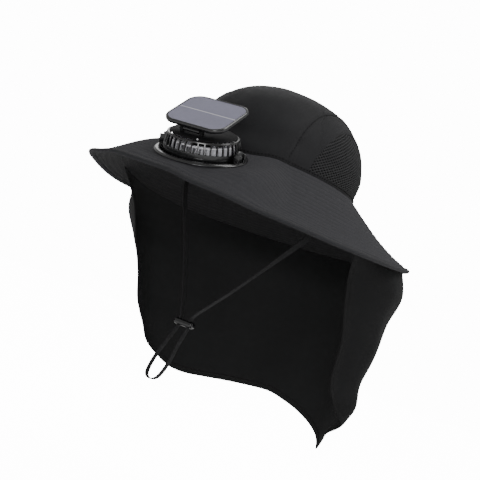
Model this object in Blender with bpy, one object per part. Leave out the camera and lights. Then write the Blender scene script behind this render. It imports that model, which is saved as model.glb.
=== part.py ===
"""Sun hat with a solar fan on its brim and a neck flap, metres, +Z up.

The origin is the middle of the head opening, at the foot of the crown. The front is -Y.
A heading turns from the front (0) to the wearer's left (90) and round the back (180).
"""

import math

import bmesh
import bpy
from mathutils import Matrix, Vector

# Crown, outside sizes.
CROWN_WIDTH = 0.174
CROWN_LENGTH = 0.206
CROWN_HEIGHT = 0.085
CROWN_LEAN = 0.006
CROWN_WALL = 0.0016

# Brim, outside sizes.
BRIM_WIDTH = 0.322
BRIM_LENGTH = 0.392
BRIM_SHIFT = -0.004
BRIM_DROP = 0.055
BRIM_WALL = 0.0024
BINDING_WIDTH = 0.0026
BINDING_HEIGHT = 0.0036

# Clearance between pieces that touch on the real hat.
GAP = 0.0003

# Net panels let into the crown's sides.
PANEL_FRONT = 60.0
PANEL_BACK = 120.0
PANEL_LOW = 0.05
PANEL_HIGH = 0.60
NET_ROWS = 4
NET_COLUMNS = 7
NET_STRAND_SHARE = 0.34
WINDOW_ROWS = 4

# Neck flap.
FLAP_FALL = 0.255
FLAP_WALL = 0.0014
FLAP_START = 75.0
FLAP_SEAM_FRONT = 0.72
FLAP_SEAM_BACK = 0.955

# Fan unit: its seat on the brim, then its own sizes.
FAN_OUT_SHARE = 0.4072
FAN_FORWARD = CROWN_LENGTH / 2 + FAN_OUT_SHARE * (BRIM_LENGTH / 2 - BRIM_SHIFT - CROWN_LENGTH / 2)
FAN_SEAT_SHARE = 0.4418
FAN_SEAT_DEPTH = BRIM_DROP * FAN_SEAT_SHARE
FAN_LEAN = 25.0
FLANGE_RADIUS = 0.0435
FLANGE_HEIGHT = 0.0023
SLEEVE_RADIUS = 0.0392
SLEEVE_WALL = 0.0019
SLEEVE_REACH = 0.0075
CLAMP_HEIGHT = 0.0022
TRUNNION_HEIGHT = 0.0065
TRUNNION_RADIUS = 0.0019
EAR_WIDTH = 0.0110
EAR_THICKNESS = 0.0036
EAR_HEIGHT = 0.0125
HOUSING_RADIUS = 0.0355
HOUSING_WALL = 0.0018
HOUSING_RIBS = 24
RIB_WIDTH = 0.0020
RIB_FOOT = 0.0085
RIB_HEAD = 0.0175
HOUSING_BOTTOM = -0.0070
HOUSING_TOP = 0.0192
INTAKE_RADIUS = 0.0250
INTAKE_HUB = 0.0100
CAP_RADIUS = 0.0310
CAP_HEIGHT = 0.0034
MOTOR_RADIUS = 0.0090
MOTOR_LENGTH = 0.0105
SHAFT_RADIUS = 0.0014
SHAFT_LENGTH = 0.0085
HUB_RADIUS = 0.0045
HUB_HEIGHT = 0.0070
ROTOR_RADIUS = 0.0305
ROTOR_FLOOR = 0.0012
BLADE_COUNT = 16
BLADE_DEPTH = 0.0045
BLADE_HEIGHT = 0.0110
BLADE_THICKNESS = 0.0012

# Solar panel and its hinge on the cap.
SOLAR_WIDTH = 0.064
SOLAR_LENGTH = 0.057
SOLAR_CORNER = 0.013
SOLAR_THICKNESS = 0.0050
SOLAR_RIM = 0.0030
CELL_THICKNESS = 0.0010
PANEL_TILT = 16.0
HINGE_FORWARD = 0.0210
HINGE_RISE = 0.0255
HINGE_RADIUS = 0.0020
HINGE_PIN = 0.0011
KNUCKLE_LENGTH = 0.0170
LUG_THICKNESS = 0.0032
PANEL_LIFT = 0.0025
PANEL_OVERHANG = 0.0040

# Chin strap and its slider.
STRAP_WIDTH = 0.0060
STRAP_THICKNESS = 0.0012
SLIDER_LENGTH = 0.0210
SLIDER_DEPTH = 0.0092
SLIDER_HEIGHT = 0.0065
SLIDER_DROP = 0.173
SLIDER_FORWARD = 0.058
SLOT_SPACING = 0.0110
STRAP_LOOP = 0.0595
LOOP_SWING = 0.026

# How round the pieces are.
OVAL_STEPS = 48
FLAP_STEPS = 34
RING_STEPS = 30

# Crown wall: (share of the height, share of the half width).
CROWN_PROFILE = (
    (0.00, 1.000),
    (0.15, 1.000),
    (0.30, 0.985),
    (0.45, 0.940),
    (0.60, 0.865),
    (0.72, 0.775),
    (0.82, 0.660),
    (0.90, 0.520),
    (0.96, 0.345),
    (1.00, 0.130),
)

# Brim slope: (share of the way out, share of the drop).
BRIM_PROFILE = (
    (0.00, 0.00),
    (0.25, 0.31),
    (0.50, 0.60),
    (0.75, 0.83),
    (1.00, 1.00),
)

# Brim edge: (heading, share of the drop there).
BRIM_EDGE = (
    (0, 1.00),
    (30, 1.08),
    (60, 1.08),
    (90, 0.97),
    (117, 0.78),
    (150, 0.76),
    (180, 0.79),
    (225, 0.88),
    (270, 0.97),
    (300, 0.87),
    (335, 0.93),
)

# Neck flap in plan, at six levels: share of the fall, then x and y of the front edge, the side,
# the quarter and the back quarter, x in half brim widths and y in half brim lengths, then the
# back's y. The first level is where it leaves the brim.
FLAP_LEVELS = (
    (0.29, 0.785, -0.100, 0.990, 0.148, 0.880, 0.470, 0.445, 0.800, 0.925),
    (0.41, 0.777, 0.020, 0.925, 0.250, 0.845, 0.490, 0.440, 0.820, 0.930),
    (0.53, 0.770, 0.155, 0.880, 0.372, 0.827, 0.530, 0.430, 0.830, 0.935),
    (0.66, 0.744, 0.240, 0.830, 0.418, 0.795, 0.592, 0.420, 0.840, 0.935),
    (0.78, 0.715, 0.403, 0.795, 0.551, 0.710, 0.689, 0.405, 0.850, 0.930),
    (1.00, 0.680, 0.480, 0.600, 0.580, 0.615, 0.690, 0.385, 0.855, 0.920),
)

# Where the flap's hem hangs: (share of the way round from the left front edge, share of the fall).
FLAP_HEM = (
    (0.00, 0.720),
    (0.05, 0.800),
    (0.125, 0.855),
    (0.20, 0.900),
    (0.25, 0.945),
    (0.29, 0.980),
    (0.32, 0.955),
    (0.37, 0.895),
    (0.43, 0.848),
    (0.50, 0.830),
    (0.68, 0.885),
    (0.74, 0.884),
    (0.81, 0.855),
    (0.88, 0.820),
    (0.94, 0.765),
    (1.00, 0.690),
)

# Flap folds: (share of the way round, half width as a share, depth in half brim widths).
FLAP_FOLDS = (
    (0.10, 0.05, 0.030),
    (0.22, 0.05, -0.040),
    (0.34, 0.05, 0.035),
    (0.47, 0.06, -0.060),
    (0.60, 0.06, 0.030),
    (0.74, 0.06, -0.025),
    (0.88, 0.06, 0.020),
)

# Chin strap, left half, from the brim to the slider: x, y, z in metres as chosen.
STRAP_ROUTE = (
    (0.0850, -0.0100, -0.0220),
    (0.0745, -0.0160, -0.0500),
    (0.0520, -0.0270, -0.0880),
    (0.0270, -0.0420, -0.1300),
)


def clamp(value, low=0.0, high=1.0):
    return max(low, min(high, value))


def smoothstep(t):
    t = clamp(t)
    return t * t * (3 - 2 * t)


def table_value(rows, at):
    """Reads a table's second column at a value of its first, along a smooth curve."""
    if at <= rows[0][0]:
        return rows[0][1]
    if at >= rows[-1][0]:
        return rows[-1][1]
    k = 0
    while rows[k + 1][0] < at:
        k += 1
    x0, y0 = rows[k][:2]
    x1, y1 = rows[k + 1][:2]

    def slope(n):
        a = rows[max(n - 1, 0)]
        b = rows[min(n + 1, len(rows) - 1)]
        return (b[1] - a[1]) / (b[0] - a[0])

    span = x1 - x0
    t = (at - x0) / span
    h00 = 2 * t**3 - 3 * t**2 + 1
    h10 = t**3 - 2 * t**2 + t
    h01 = -2 * t**3 + 3 * t**2
    h11 = t**3 - t**2
    return h00 * y0 + h10 * span * slope(k) + h01 * y1 + h11 * span * slope(k + 1)


def round_table(rows, heading):
    """Reads a table of headings that closes on itself after a full turn."""
    heading = heading % 360
    wrapped = (
        [(a - 360, v) for a, v in rows[-2:]] + list(rows) + [(a + 360, v) for a, v in rows[:2]]
    )
    return table_value(wrapped, heading)


def spline(points, steps):
    """A smooth line through points, with the same number of steps between each two."""
    points = [Vector(p) for p in points]
    line = []
    for k in range(len(points) - 1):
        p0 = points[max(k - 1, 0)]
        p1 = points[k]
        p2 = points[k + 1]
        p3 = points[min(k + 2, len(points) - 1)]
        for n in range(steps):
            t = n / steps
            a = 2 * p1 - 2 * p2 + (p2 - p0) / 2 + (p3 - p1) / 2
            b = -3 * p1 + 3 * p2 - (p2 - p0) - (p3 - p1) / 2
            line.append(a * t**3 + b * t**2 + (p2 - p0) / 2 * t + p1)
    line.append(points[-1])
    return line


def material(name, color, roughness, metallic=0.0):
    made = bpy.data.materials.new(name)
    made.use_nodes = True
    shader = made.node_tree.nodes["Principled BSDF"]
    shader.inputs["Base Color"].default_value = (*color, 1)
    shader.inputs["Roughness"].default_value = roughness
    shader.inputs["Metallic"].default_value = metallic
    return made


def add_object(name, bm, mat=None, parent=None, smooth=True):
    bmesh.ops.recalc_face_normals(bm, faces=bm.faces)
    mesh = bpy.data.meshes.new(name)
    bm.to_mesh(mesh)
    bm.free()
    if mat:
        mesh.materials.append(mat)
    made = bpy.data.objects.new(name, mesh)
    bpy.context.scene.collection.objects.link(made)
    if parent:
        made.parent = parent
    if smooth:
        mesh.shade_smooth()
        mesh.set_sharp_from_angle(angle=math.radians(40))
    return made


def empty(name, location, rotation=(0, 0, 0), parent=None):
    made = bpy.data.objects.new(name, None)
    bpy.context.scene.collection.objects.link(made)
    made.location = location
    made.rotation_euler = rotation
    made.parent = parent
    return made


def combine(target, other, operation):
    """Joins or cuts with a hidden helper shape."""
    other.hide_render = True
    other.display_type = "WIRE"
    step = target.modifiers.new(other.name, "BOOLEAN")
    step.operation = operation
    step.solver = "EXACT"
    step.object = other


def shell(outer, inner, closed, keep=None):
    """A closed wall between two grids of points, with some of its cells left open.

    A grid is a list of rows, and closed says that each row runs round and meets itself.
    """
    bm = bmesh.new()
    rows = len(outer)
    columns = len(outer[0])
    across = columns if closed else columns - 1
    keep = keep or (lambda i, j: True)
    kept = {(i, j) for j in range(rows - 1) for i in range(across) if keep(i, j)}
    used = {}

    def corner(side, i, j):
        key = (side, i % columns, j)
        if key not in used:
            grid = outer if side == 0 else inner
            used[key] = bm.verts.new(grid[j][i % columns])
        return used[key]

    for i, j in kept:
        a, b, c, d = [(i, j), (i + 1, j), (i + 1, j + 1), (i, j + 1)]
        bm.faces.new([corner(0, *p) for p in (a, b, c, d)])
        bm.faces.new([corner(1, *p) for p in (d, c, b, a)])
        sides = (((i, j - 1), a, b), ((i + 1, j), b, c), ((i, j + 1), c, d), ((i - 1, j), d, a))
        for (ni, nj), p, q in sides:
            near = (ni % columns, nj) if closed else (ni, nj)
            if near not in kept:
                bm.faces.new([corner(0, *q), corner(0, *p), corner(1, *p), corner(1, *q)])
    return bm


def lathe(profile, steps):
    """Turns a closed outline of (radius, height) about Z. A radius of 0 is a pole."""
    bm = bmesh.new()
    rings = []
    for radius, height in profile:
        if radius == 0:
            rings.append([bm.verts.new((0, 0, height))])
            continue
        ring = []
        for n in range(steps):
            turn = 2 * math.pi * n / steps
            ring.append(bm.verts.new((radius * math.cos(turn), radius * math.sin(turn), height)))
        rings.append(ring)
    pairs = list(zip(rings, rings[1:] + rings[:1]))
    for low, high in pairs:
        if len(low) == 1 and len(high) == 1:
            continue
        for n in range(steps):
            m = (n + 1) % steps
            if len(low) == 1:
                bm.faces.new([low[0], high[n], high[m]])
            elif len(high) == 1:
                bm.faces.new([low[n], low[m], high[0]])
            else:
                bm.faces.new([low[n], low[m], high[m], high[n]])
    return bm


def block(size, centre, bevel=0.0):
    bm = bmesh.new()
    bmesh.ops.create_cube(bm, size=1, matrix=Matrix.Diagonal((*size, 1)))
    if bevel:
        bmesh.ops.bevel(bm, geom=bm.edges[:], offset=bevel, segments=2, affect="EDGES")
    bmesh.ops.translate(bm, verts=bm.verts, vec=centre)
    return bm


def rod_x(radius, length, centre, steps=16):
    """A round bar along X."""
    bm = bmesh.new()
    turn = Matrix.Rotation(math.radians(90), 4, "Y")
    bmesh.ops.create_cone(
        bm,
        cap_ends=True,
        segments=steps,
        radius1=radius,
        radius2=radius,
        depth=length,
        matrix=Matrix.Translation(centre) @ turn,
    )
    return bm


def rounded_plate(width, length, corner, low, high, centre_y=0.0, steps=4):
    """A plate with round corners, flat in X and Y, from one height to another."""
    bm = bmesh.new()
    ring = []
    for k, (sx, sy) in enumerate(((1, 1), (-1, 1), (-1, -1), (1, -1))):
        for n in range(steps + 1):
            turn = math.radians(90 * k + 90 * n / steps)
            x = sx * (width / 2 - corner) + corner * math.cos(turn)
            y = sy * (length / 2 - corner) + corner * math.sin(turn) + centre_y
            ring.append(bm.verts.new((x, y, low)))
    face = bm.faces.new(ring)
    lifted = bmesh.ops.extrude_face_region(bm, geom=[face])
    tops = [g for g in lifted["geom"] if isinstance(g, bmesh.types.BMVert)]
    bmesh.ops.translate(bm, verts=tops, vec=(0, 0, high - low))
    return bm


def on_oval(heading, half_width, half_length, shift=0.0):
    """A point on an oval in plan at a heading."""
    turn = math.radians(heading)
    return half_width * math.sin(turn), shift - half_length * math.cos(turn)


def brim_plan(heading, out, inset=0.0):
    """A point of the brim in plan: out is 0 at the crown and 1 at the edge."""
    x0, y0 = on_oval(heading, CROWN_WIDTH / 2 - inset, CROWN_LENGTH / 2 - inset)
    x1, y1 = on_oval(heading, BRIM_WIDTH / 2, BRIM_LENGTH / 2, BRIM_SHIFT)
    return x0 + (x1 - x0) * out, y0 + (y1 - y0) * out


def fan_seat_height(y):
    """Height of the flat seat under the fan's flange."""
    return -FAN_SEAT_DEPTH + (y + FAN_FORWARD) * math.tan(math.radians(FAN_LEAN))


def brim_top(heading, out, x, y):
    """Height of the brim's upper face: a bell, pressed flat under the fan."""
    bell = -BRIM_DROP * round_table(BRIM_EDGE, heading) * table_value(BRIM_PROFILE, out)
    along = (y + FAN_FORWARD) / math.cos(math.radians(FAN_LEAN))
    away = math.hypot(x, along)
    flat_to = FLANGE_RADIUS * 1.25
    fade = FLANGE_RADIUS * 0.9
    flat = 1 - smoothstep((away - flat_to) / fade)
    return bell * (1 - flat) + fan_seat_height(y) * flat


def brim_point(heading, out, inset=0.0, below=0.0):
    x, y = brim_plan(heading, out, inset)
    return Vector((x, y, brim_top(heading, out, x, y) - below))


def crown_point(heading, height_share, inset=0.0):
    """A point on the crown's outer face, or inset from it."""
    share = table_value(CROWN_PROFILE, height_share)
    half_width = CROWN_WIDTH / 2 - inset
    half_length = CROWN_LENGTH / 2 - inset
    x, y = on_oval(heading, half_width * share, half_length * share)
    x0, y0 = on_oval(heading, half_width, half_length)
    foot = brim_top(heading, 0.0, x0, y0) + GAP
    top = CROWN_HEIGHT - inset
    y += CROWN_LEAN * smoothstep(height_share / 0.3)
    return Vector((x, y, foot + (top - foot) * height_share))


def crown_heights():
    """Height shares of the crown's rows, with the net panel's window among them."""
    window = [PANEL_LOW + (PANEL_HIGH - PANEL_LOW) * n / WINDOW_ROWS for n in range(WINDOW_ROWS + 1)]
    return [0.0] + window + [0.72, 0.82, 0.90, 0.96, 1.0]


def make_crown(mat):
    heights = crown_heights()
    headings = [360 * n / OVAL_STEPS for n in range(OVAL_STEPS)]
    step = 360 / OVAL_STEPS
    front = round(PANEL_FRONT / step)
    back = round(PANEL_BACK / step)
    outer = [[crown_point(h, s) for h in headings] for s in heights]
    inner = [[crown_point(h, s, CROWN_WALL) for h in headings] for s in heights]

    def keep(i, j):
        beside = front <= i < back or OVAL_STEPS - back <= i < OVAL_STEPS - front
        return not (beside and 1 <= j < 1 + WINDOW_ROWS)

    bm = shell(outer, inner, True, keep)
    # The opening at the very top is closed on both sides.
    top = max(v.co.z for v in bm.verts)
    rim = [face for face in bm.faces if is_lid_wall(face, top)]
    bmesh.ops.delete(bm, geom=rim, context="FACES")
    bmesh.ops.holes_fill(bm, edges=[e for e in bm.edges if e.is_boundary], sides=0)
    return add_object("crown", bm, mat)


def is_lid_wall(face, top):
    """Tells the small wall round the opening at the crown's top from the crown's faces."""
    low = top - CROWN_WALL
    return all(abs(v.co.z - top) < 1e-6 or abs(v.co.z - low) < 1e-6 for v in face.verts)


def make_net_panel(mat, name, side):
    """Net with rows of gaps, let into the crown's window on one side."""
    step = 360 / OVAL_STEPS
    front = round(PANEL_FRONT / step) * step
    back = round(PANEL_BACK / step) * step
    margin = math.degrees(2 * GAP / CROWN_WIDTH)
    first = margin + (front if side > 0 else 360 - back)
    last = (back if side > 0 else 360 - front) - margin
    foot = PANEL_LOW + GAP / CROWN_HEIGHT
    head = PANEL_HIGH - GAP / CROWN_HEIGHT

    def spread(low, high, count):
        """Edges of strands and gaps in turn, strand first and last."""
        unit = (high - low) / (count + NET_STRAND_SHARE)
        edges = []
        for n in range(count):
            edges.append(low + n * unit)
            edges.append(low + (n + NET_STRAND_SHARE) * unit)
        edges.append(low + count * unit)
        edges.append(high)
        return edges

    headings = spread(first, last, NET_COLUMNS)
    heights = spread(foot, head, NET_ROWS)
    outer = [[panel_point(h, s, 0.0) for h in headings] for s in heights]
    inner = [[panel_point(h, s, CROWN_WALL) for h in headings] for s in heights]

    def keep(i, j):
        return not (i % 2 == 1 and j % 2 == 1)

    return add_object(name, shell(outer, inner, False, keep), mat)


def panel_point(heading, share, inset):
    """A point of the net, on the same facets as the crown so that the window clears it."""
    heights = crown_heights()
    step = 360 / OVAL_STEPS
    i = math.floor(heading / step + 1e-9)
    t = heading / step - i
    j = max(k for k in range(len(heights) - 1) if heights[k] <= share + 1e-9)
    s = (share - heights[j]) / (heights[j + 1] - heights[j])
    low = crown_point(i * step, heights[j], inset).lerp(
        crown_point((i + 1) * step, heights[j], inset), t
    )
    high = crown_point(i * step, heights[j + 1], inset).lerp(
        crown_point((i + 1) * step, heights[j + 1], inset), t
    )
    return low.lerp(high, s)


def make_brim(mat):
    headings = [360 * n / OVAL_STEPS for n in range(OVAL_STEPS)]
    outs = [0.0, 0.13, 0.27, 0.41, 0.55, 0.69, 0.84, 1.0]
    outer = [[brim_point(h, 0.0, CROWN_WALL) for h in headings]]
    inner = [[brim_point(h, 0.0, CROWN_WALL, BRIM_WALL) for h in headings]]
    for out in outs:
        outer.append([brim_point(h, out) for h in headings])
        inner.append([brim_point(h, out, 0.0, BRIM_WALL) for h in headings])
    brim = add_object("brim", shell(outer, inner, True), mat)
    hole = add_object("fan_hole", lathe(tube_outline(0, SLEEVE_RADIUS + GAP, -0.02, 0.02), RING_STEPS))
    hole.parent = bpy.data.objects["fan_seat"]
    combine(brim, hole, "DIFFERENCE")
    return brim


def tube_outline(inside, outside, low, high):
    """An outline for a disc or a tube."""
    return [(inside, low), (outside, low), (outside, high), (inside, high)]


def make_binding(mat):
    """The tape round the brim's edge, as a ring with a rounded section."""
    headings = [360 * n / OVAL_STEPS for n in range(OVAL_STEPS)]
    section = ((0, 0.4), (0.5, 0.5), (1, 0), (0.5, -0.5), (0, -0.4))
    bm = bmesh.new()
    rings = []
    for h in headings:
        edge = brim_point(h, 1.0) - Vector((0, 0, BRIM_WALL / 2))
        outward = (brim_point(h, 1.0) - brim_point(h, 0.0)) * Vector((1, 1, 0))
        outward.normalize()
        ring = []
        for out, up in section:
            at = edge + outward * (2 * GAP + out * BINDING_WIDTH)
            at.z += up * BINDING_HEIGHT
            ring.append(bm.verts.new(at))
        rings.append(ring)
    for a, b in zip(rings, rings[1:] + rings[:1]):
        for k in range(len(section)):
            m = (k + 1) % len(section)
            bm.faces.new([a[k], b[k], b[m], a[m]])
    return add_object("brim_binding", bm, mat)


def flap_heading(share):
    """Heading at a share of the way round the flap, from the wearer's left to the right."""
    return FLAP_START + (360 - 2 * FLAP_START) * share


def flap_top(share, inset):
    """Where the flap meets the underside of the brim."""
    heading = flap_heading(share)
    back = math.sin(math.pi * share)
    seam = FLAP_SEAM_FRONT + (FLAP_SEAM_BACK - FLAP_SEAM_FRONT) * smoothstep(back * 1.3)
    width = (BRIM_WIDTH - CROWN_WIDTH) / 2
    out = seam - inset / width
    return brim_point(heading, out, 0.0, BRIM_WALL + GAP)


def level_plan(row, share):
    """A point of one level in plan, at a share of the way round."""
    half_w = BRIM_WIDTH / 2
    half_l = BRIM_LENGTH / 2
    _, ex, ey, sx, sy, qx, qy, bx, by, back = row
    left = [(ex, ey), (sx, sy), (qx, qy), (bx, by), (0.0, back)]
    points = left + [(-x, y) for x, y in reversed(left[:-1])]
    line = spline([(x * half_w, y * half_l, 0) for x, y in points], 8)
    at = share * (len(line) - 1)
    k = min(int(at), len(line) - 2)
    return line[k].lerp(line[k + 1], at - k)


def flap_point(share, fall):
    """A point of the flap's middle surface. Fall is 0 at the brim and 1 at the hem."""
    top = flap_top(share, 0.0)
    hem = -FLAP_FALL * table_value(FLAP_HEM, share)
    z = top.z + (hem - top.z) * fall
    depth = clamp(-z / FLAP_FALL, 0.0, 1.0)
    plans = [level_plan(row, share) for row in FLAP_LEVELS]
    plans = [Vector((top.x, top.y, 0))] + plans
    depths = [-top.z / FLAP_FALL] + [row[0] for row in FLAP_LEVELS]
    if depths[1] <= depths[0] + 0.02:
        del plans[1]
        del depths[1]
    x = table_value([(d, p.x) for d, p in zip(depths, plans)], depth)
    y = table_value([(d, p.y) for d, p in zip(depths, plans)], depth)
    fold = 0.0
    for where, half, deep in FLAP_FOLDS:
        fold += deep * math.exp(-(((share - where) / half) ** 2))
    fold *= BRIM_WIDTH / 2 * smoothstep(fall * 1.15)
    centre = Vector((0, 0.25 * BRIM_LENGTH / 2, 0))
    outward = (Vector((x, y, 0)) - centre).normalized()
    return Vector((x, y, z)) + outward * fold


def make_flap(mat):
    falls = [0.0, 0.07, 0.18, 0.32, 0.48, 0.64, 0.80, 0.92, 1.0]
    shares = [n / FLAP_STEPS for n in range(FLAP_STEPS + 1)]
    outer = []
    inner = []
    for fall in falls:
        outer_row = []
        inner_row = []
        for n, share in enumerate(shares):
            here = flap_point(share, fall)
            before = flap_point(shares[max(n - 1, 0)], fall)
            after = flap_point(shares[min(n + 1, FLAP_STEPS)], fall)
            along = (after - before) * Vector((1, 1, 0))
            outward = Vector((along.y, -along.x, 0)).normalized()
            a = here + outward * FLAP_WALL / 2
            b = here - outward * FLAP_WALL / 2
            if fall == 0:
                a = flap_top(share, -FLAP_WALL / 2)
                b = flap_top(share, FLAP_WALL / 2)
            outer_row.append(a)
            inner_row.append(b)
        outer.append(outer_row)
        inner.append(inner_row)
    return add_object("neck_flap", shell(outer, inner, False), mat)


def strap_line():
    """The chin strap's middle line: from the brim on the left down to the loop and up again."""
    top = brim_point(88.0, 0.05, 0.0, BRIM_WALL + 3 * GAP)
    half = SLOT_SPACING / 2
    slider_top = -SLIDER_DROP + SLIDER_HEIGHT
    slider_low = -SLIDER_DROP - SLIDER_HEIGHT
    left = [tuple(top)] + list(STRAP_ROUTE)
    left.append((half * 1.5, -SLIDER_FORWARD + 0.0015, slider_top - 0.0005 + 0.006))
    left.append((half, -SLIDER_FORWARD, slider_top - SLIDER_HEIGHT / 2))
    left.append((half, -SLIDER_FORWARD, slider_low + SLIDER_HEIGHT / 2))
    for wide, down in ((1.2, 0.36), (1.5, 0.68), (1.15, 0.93)):
        forward = SLIDER_FORWARD + LOOP_SWING * down
        left.append((half * wide, -forward, -SLIDER_DROP - STRAP_LOOP * down))
    bottom = [(0.0, -SLIDER_FORWARD - LOOP_SWING, -SLIDER_DROP - STRAP_LOOP)]
    right = [(-x, y, z) for x, y, z in reversed(left)]
    return spline(left + bottom + right, 2)


def make_strap(mat):
    line = strap_line()
    bm = bmesh.new()
    rings = []
    for n, point in enumerate(line):
        tangent = (line[min(n + 1, len(line) - 1)] - line[max(n - 1, 0)]).normalized()
        if n in (0, len(line) - 1):
            tangent = Vector((0, 0, -1 if n == 0 else 1))
        wide = Vector((0, 1, 0))
        wide = (wide - tangent * wide.dot(tangent)).normalized()
        thin = tangent.cross(wide)
        ring = []
        for a, b in ((1, 1), (-1, 1), (-1, -1), (1, -1)):
            at = point + wide * a * STRAP_WIDTH / 2 + thin * b * STRAP_THICKNESS / 2
            ring.append(bm.verts.new(at))
        rings.append(ring)
    for a, b in zip(rings, rings[1:]):
        for k in range(4):
            m = (k + 1) % 4
            bm.faces.new([a[k], a[m], b[m], b[k]])
    bm.faces.new(rings[0])
    bm.faces.new(rings[-1])
    return add_object("chin_strap", bm, mat)


def make_slider(mat):
    centre = Vector((0, -SLIDER_FORWARD, -SLIDER_DROP))
    slider = add_object(
        "strap_slider",
        block((SLIDER_LENGTH, SLIDER_DEPTH, SLIDER_HEIGHT), centre, SLIDER_HEIGHT * 0.22),
        mat,
    )
    for side in (-1, 1):
        slot = block(
            (STRAP_THICKNESS + 4 * GAP, STRAP_WIDTH + 4 * GAP, SLIDER_HEIGHT * 3),
            centre + Vector((side * SLOT_SPACING / 2, 0, 0)),
        )
        combine(slider, add_object(f"slot_cut_{side + 1}", slot), "DIFFERENCE")
    return slider


def make_base(mat, seat):
    """The flange on the brim with its sleeve and the two ears that carry the fan."""
    inside = SLEEVE_RADIUS - SLEEVE_WALL
    edge = FLANGE_HEIGHT * 0.55
    outline = [
        (inside, -SLEEVE_REACH),
        (SLEEVE_RADIUS, -SLEEVE_REACH),
        (SLEEVE_RADIUS, GAP),
        (FLANGE_RADIUS, GAP),
        (FLANGE_RADIUS, GAP + edge * 0.5),
        (FLANGE_RADIUS - edge, GAP + FLANGE_HEIGHT),
        (inside, GAP + FLANGE_HEIGHT),
    ]
    base = add_object("fan_base", lathe(outline, RING_STEPS), mat, seat)
    for side, name in ((1, "left"), (-1, "right")):
        middle = inside + EAR_THICKNESS / 2 + GAP
        low = GAP + FLANGE_HEIGHT * 0.5
        size = (EAR_THICKNESS, EAR_WIDTH, EAR_HEIGHT - low)
        centre = (side * middle, 0, (EAR_HEIGHT + low) / 2)
        ear = add_object(f"ear_{name}", block(size, centre, EAR_THICKNESS * 0.2), None, seat)
        combine(base, ear, "UNION")
    bore = rod_x(TRUNNION_RADIUS + GAP, 4 * SLEEVE_RADIUS, (0, 0, TRUNNION_HEIGHT))
    combine(base, add_object("trunnion_bore", bore, None, seat), "DIFFERENCE")
    return base


def make_clamp(mat, seat):
    """The ring under the brim that the sleeve is held by."""
    top = -BRIM_WALL * math.cos(math.radians(FAN_LEAN)) - GAP
    outline = tube_outline(SLEEVE_RADIUS + GAP, FLANGE_RADIUS, top - CLAMP_HEIGHT, top)
    return add_object("fan_clamp_ring", lathe(outline, RING_STEPS), mat, seat)


def housing_radius(height):
    """Radius of the ball that the housing follows, about the trunnions."""
    return math.sqrt(HOUSING_RADIUS**2 - (height - TRUNNION_HEIGHT) ** 2)


def make_housing(mat, tilt):
    """The ball shaped grille: a bowl with an open intake below, upright ribs and a top ring."""
    angles = []
    for n in range(HOUSING_RIBS):
        middle = 2 * math.pi * n / HOUSING_RIBS
        half = RIB_WIDTH / HOUSING_RADIUS / 2
        angles += [middle - half, middle + half]
    flat = [INTAKE_HUB * 0.35, INTAKE_HUB, INTAKE_RADIUS, housing_radius(HOUSING_BOTTOM) - 0.0004]
    heights = [HOUSING_BOTTOM, HOUSING_BOTTOM * 0.3, RIB_FOOT, RIB_HEAD, HOUSING_TOP]
    outer = []
    inner = []
    for radius in flat[:-1]:
        outer.append([(radius * math.cos(a), radius * math.sin(a), HOUSING_BOTTOM) for a in angles])
        low = HOUSING_BOTTOM + HOUSING_WALL
        inner.append([(radius * math.cos(a), radius * math.sin(a), low) for a in angles])
    for height in heights:
        radius = housing_radius(height)
        outer.append([(radius * math.cos(a), radius * math.sin(a), height) for a in angles])
        inside = radius - HOUSING_WALL
        height = max(height, HOUSING_BOTTOM + HOUSING_WALL)
        inner.append([(inside * math.cos(a), inside * math.sin(a), height) for a in angles])
    spokes = HOUSING_RIBS // 8

    def keep(i, j):
        if j == 1:
            return (i // 2) % spokes == 0 and i % 2 == 0
        if j == 5:
            return i % 2 == 0
        return True

    bm = shell(outer, inner, True, keep)
    for vert in bm.verts:
        vert.co.z -= TRUNNION_HEIGHT
    housing = add_object("fan_housing", bm, mat, tilt)
    reach = SLEEVE_RADIUS - SLEEVE_WALL + EAR_THICKNESS
    start = HOUSING_RADIUS - HOUSING_WALL * 0.6
    for side, name in ((1, "left"), (-1, "right")):
        pin = rod_x(TRUNNION_RADIUS, reach - start, (side * (reach + start) / 2, 0, 0))
        combine(housing, add_object(f"trunnion_{name}", pin, None, tilt), "UNION")
    return housing


def make_cap(mat, tilt):
    """The closed cap with the motor and its shaft below and the hinge lugs at the front."""
    low = HOUSING_TOP + GAP - TRUNNION_HEIGHT
    top = low + CAP_HEIGHT
    motor_low = low - MOTOR_LENGTH
    outline = [
        (0, top),
        (CAP_RADIUS * 0.70, top),
        (CAP_RADIUS * 0.93, top - CAP_HEIGHT * 0.35),
        (CAP_RADIUS, top - CAP_HEIGHT * 0.70),
        (CAP_RADIUS, low),
        (MOTOR_RADIUS, low),
        (MOTOR_RADIUS, motor_low),
        (SHAFT_RADIUS, motor_low),
        (SHAFT_RADIUS, motor_low - SHAFT_LENGTH),
        (0, motor_low - SHAFT_LENGTH),
    ]
    cap = add_object("fan_cap", lathe(outline, RING_STEPS), mat, tilt)
    axis_z = HINGE_RISE - TRUNNION_HEIGHT
    between = KNUCKLE_LENGTH + 2 * GAP
    foot = top - CAP_HEIGHT * 0.3
    for side, name in ((1, "left"), (-1, "right")):
        middle = side * (between + LUG_THICKNESS) / 2
        lug = rod_x(HINGE_RADIUS, LUG_THICKNESS, (middle, -HINGE_FORWARD, axis_z))
        combine(cap, add_object(f"lug_{name}", lug, None, tilt), "UNION")
        size = (LUG_THICKNESS, 2 * HINGE_RADIUS, axis_z - foot)
        post = block(size, (middle, -HINGE_FORWARD, (axis_z + foot) / 2))
        combine(cap, add_object(f"lug_post_{name}", post, None, tilt), "UNION")
    bore = rod_x(HINGE_PIN + GAP, between * 2, (0, -HINGE_FORWARD, axis_z))
    combine(cap, add_object("hinge_bore", bore, None, tilt), "DIFFERENCE")
    return cap


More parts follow.
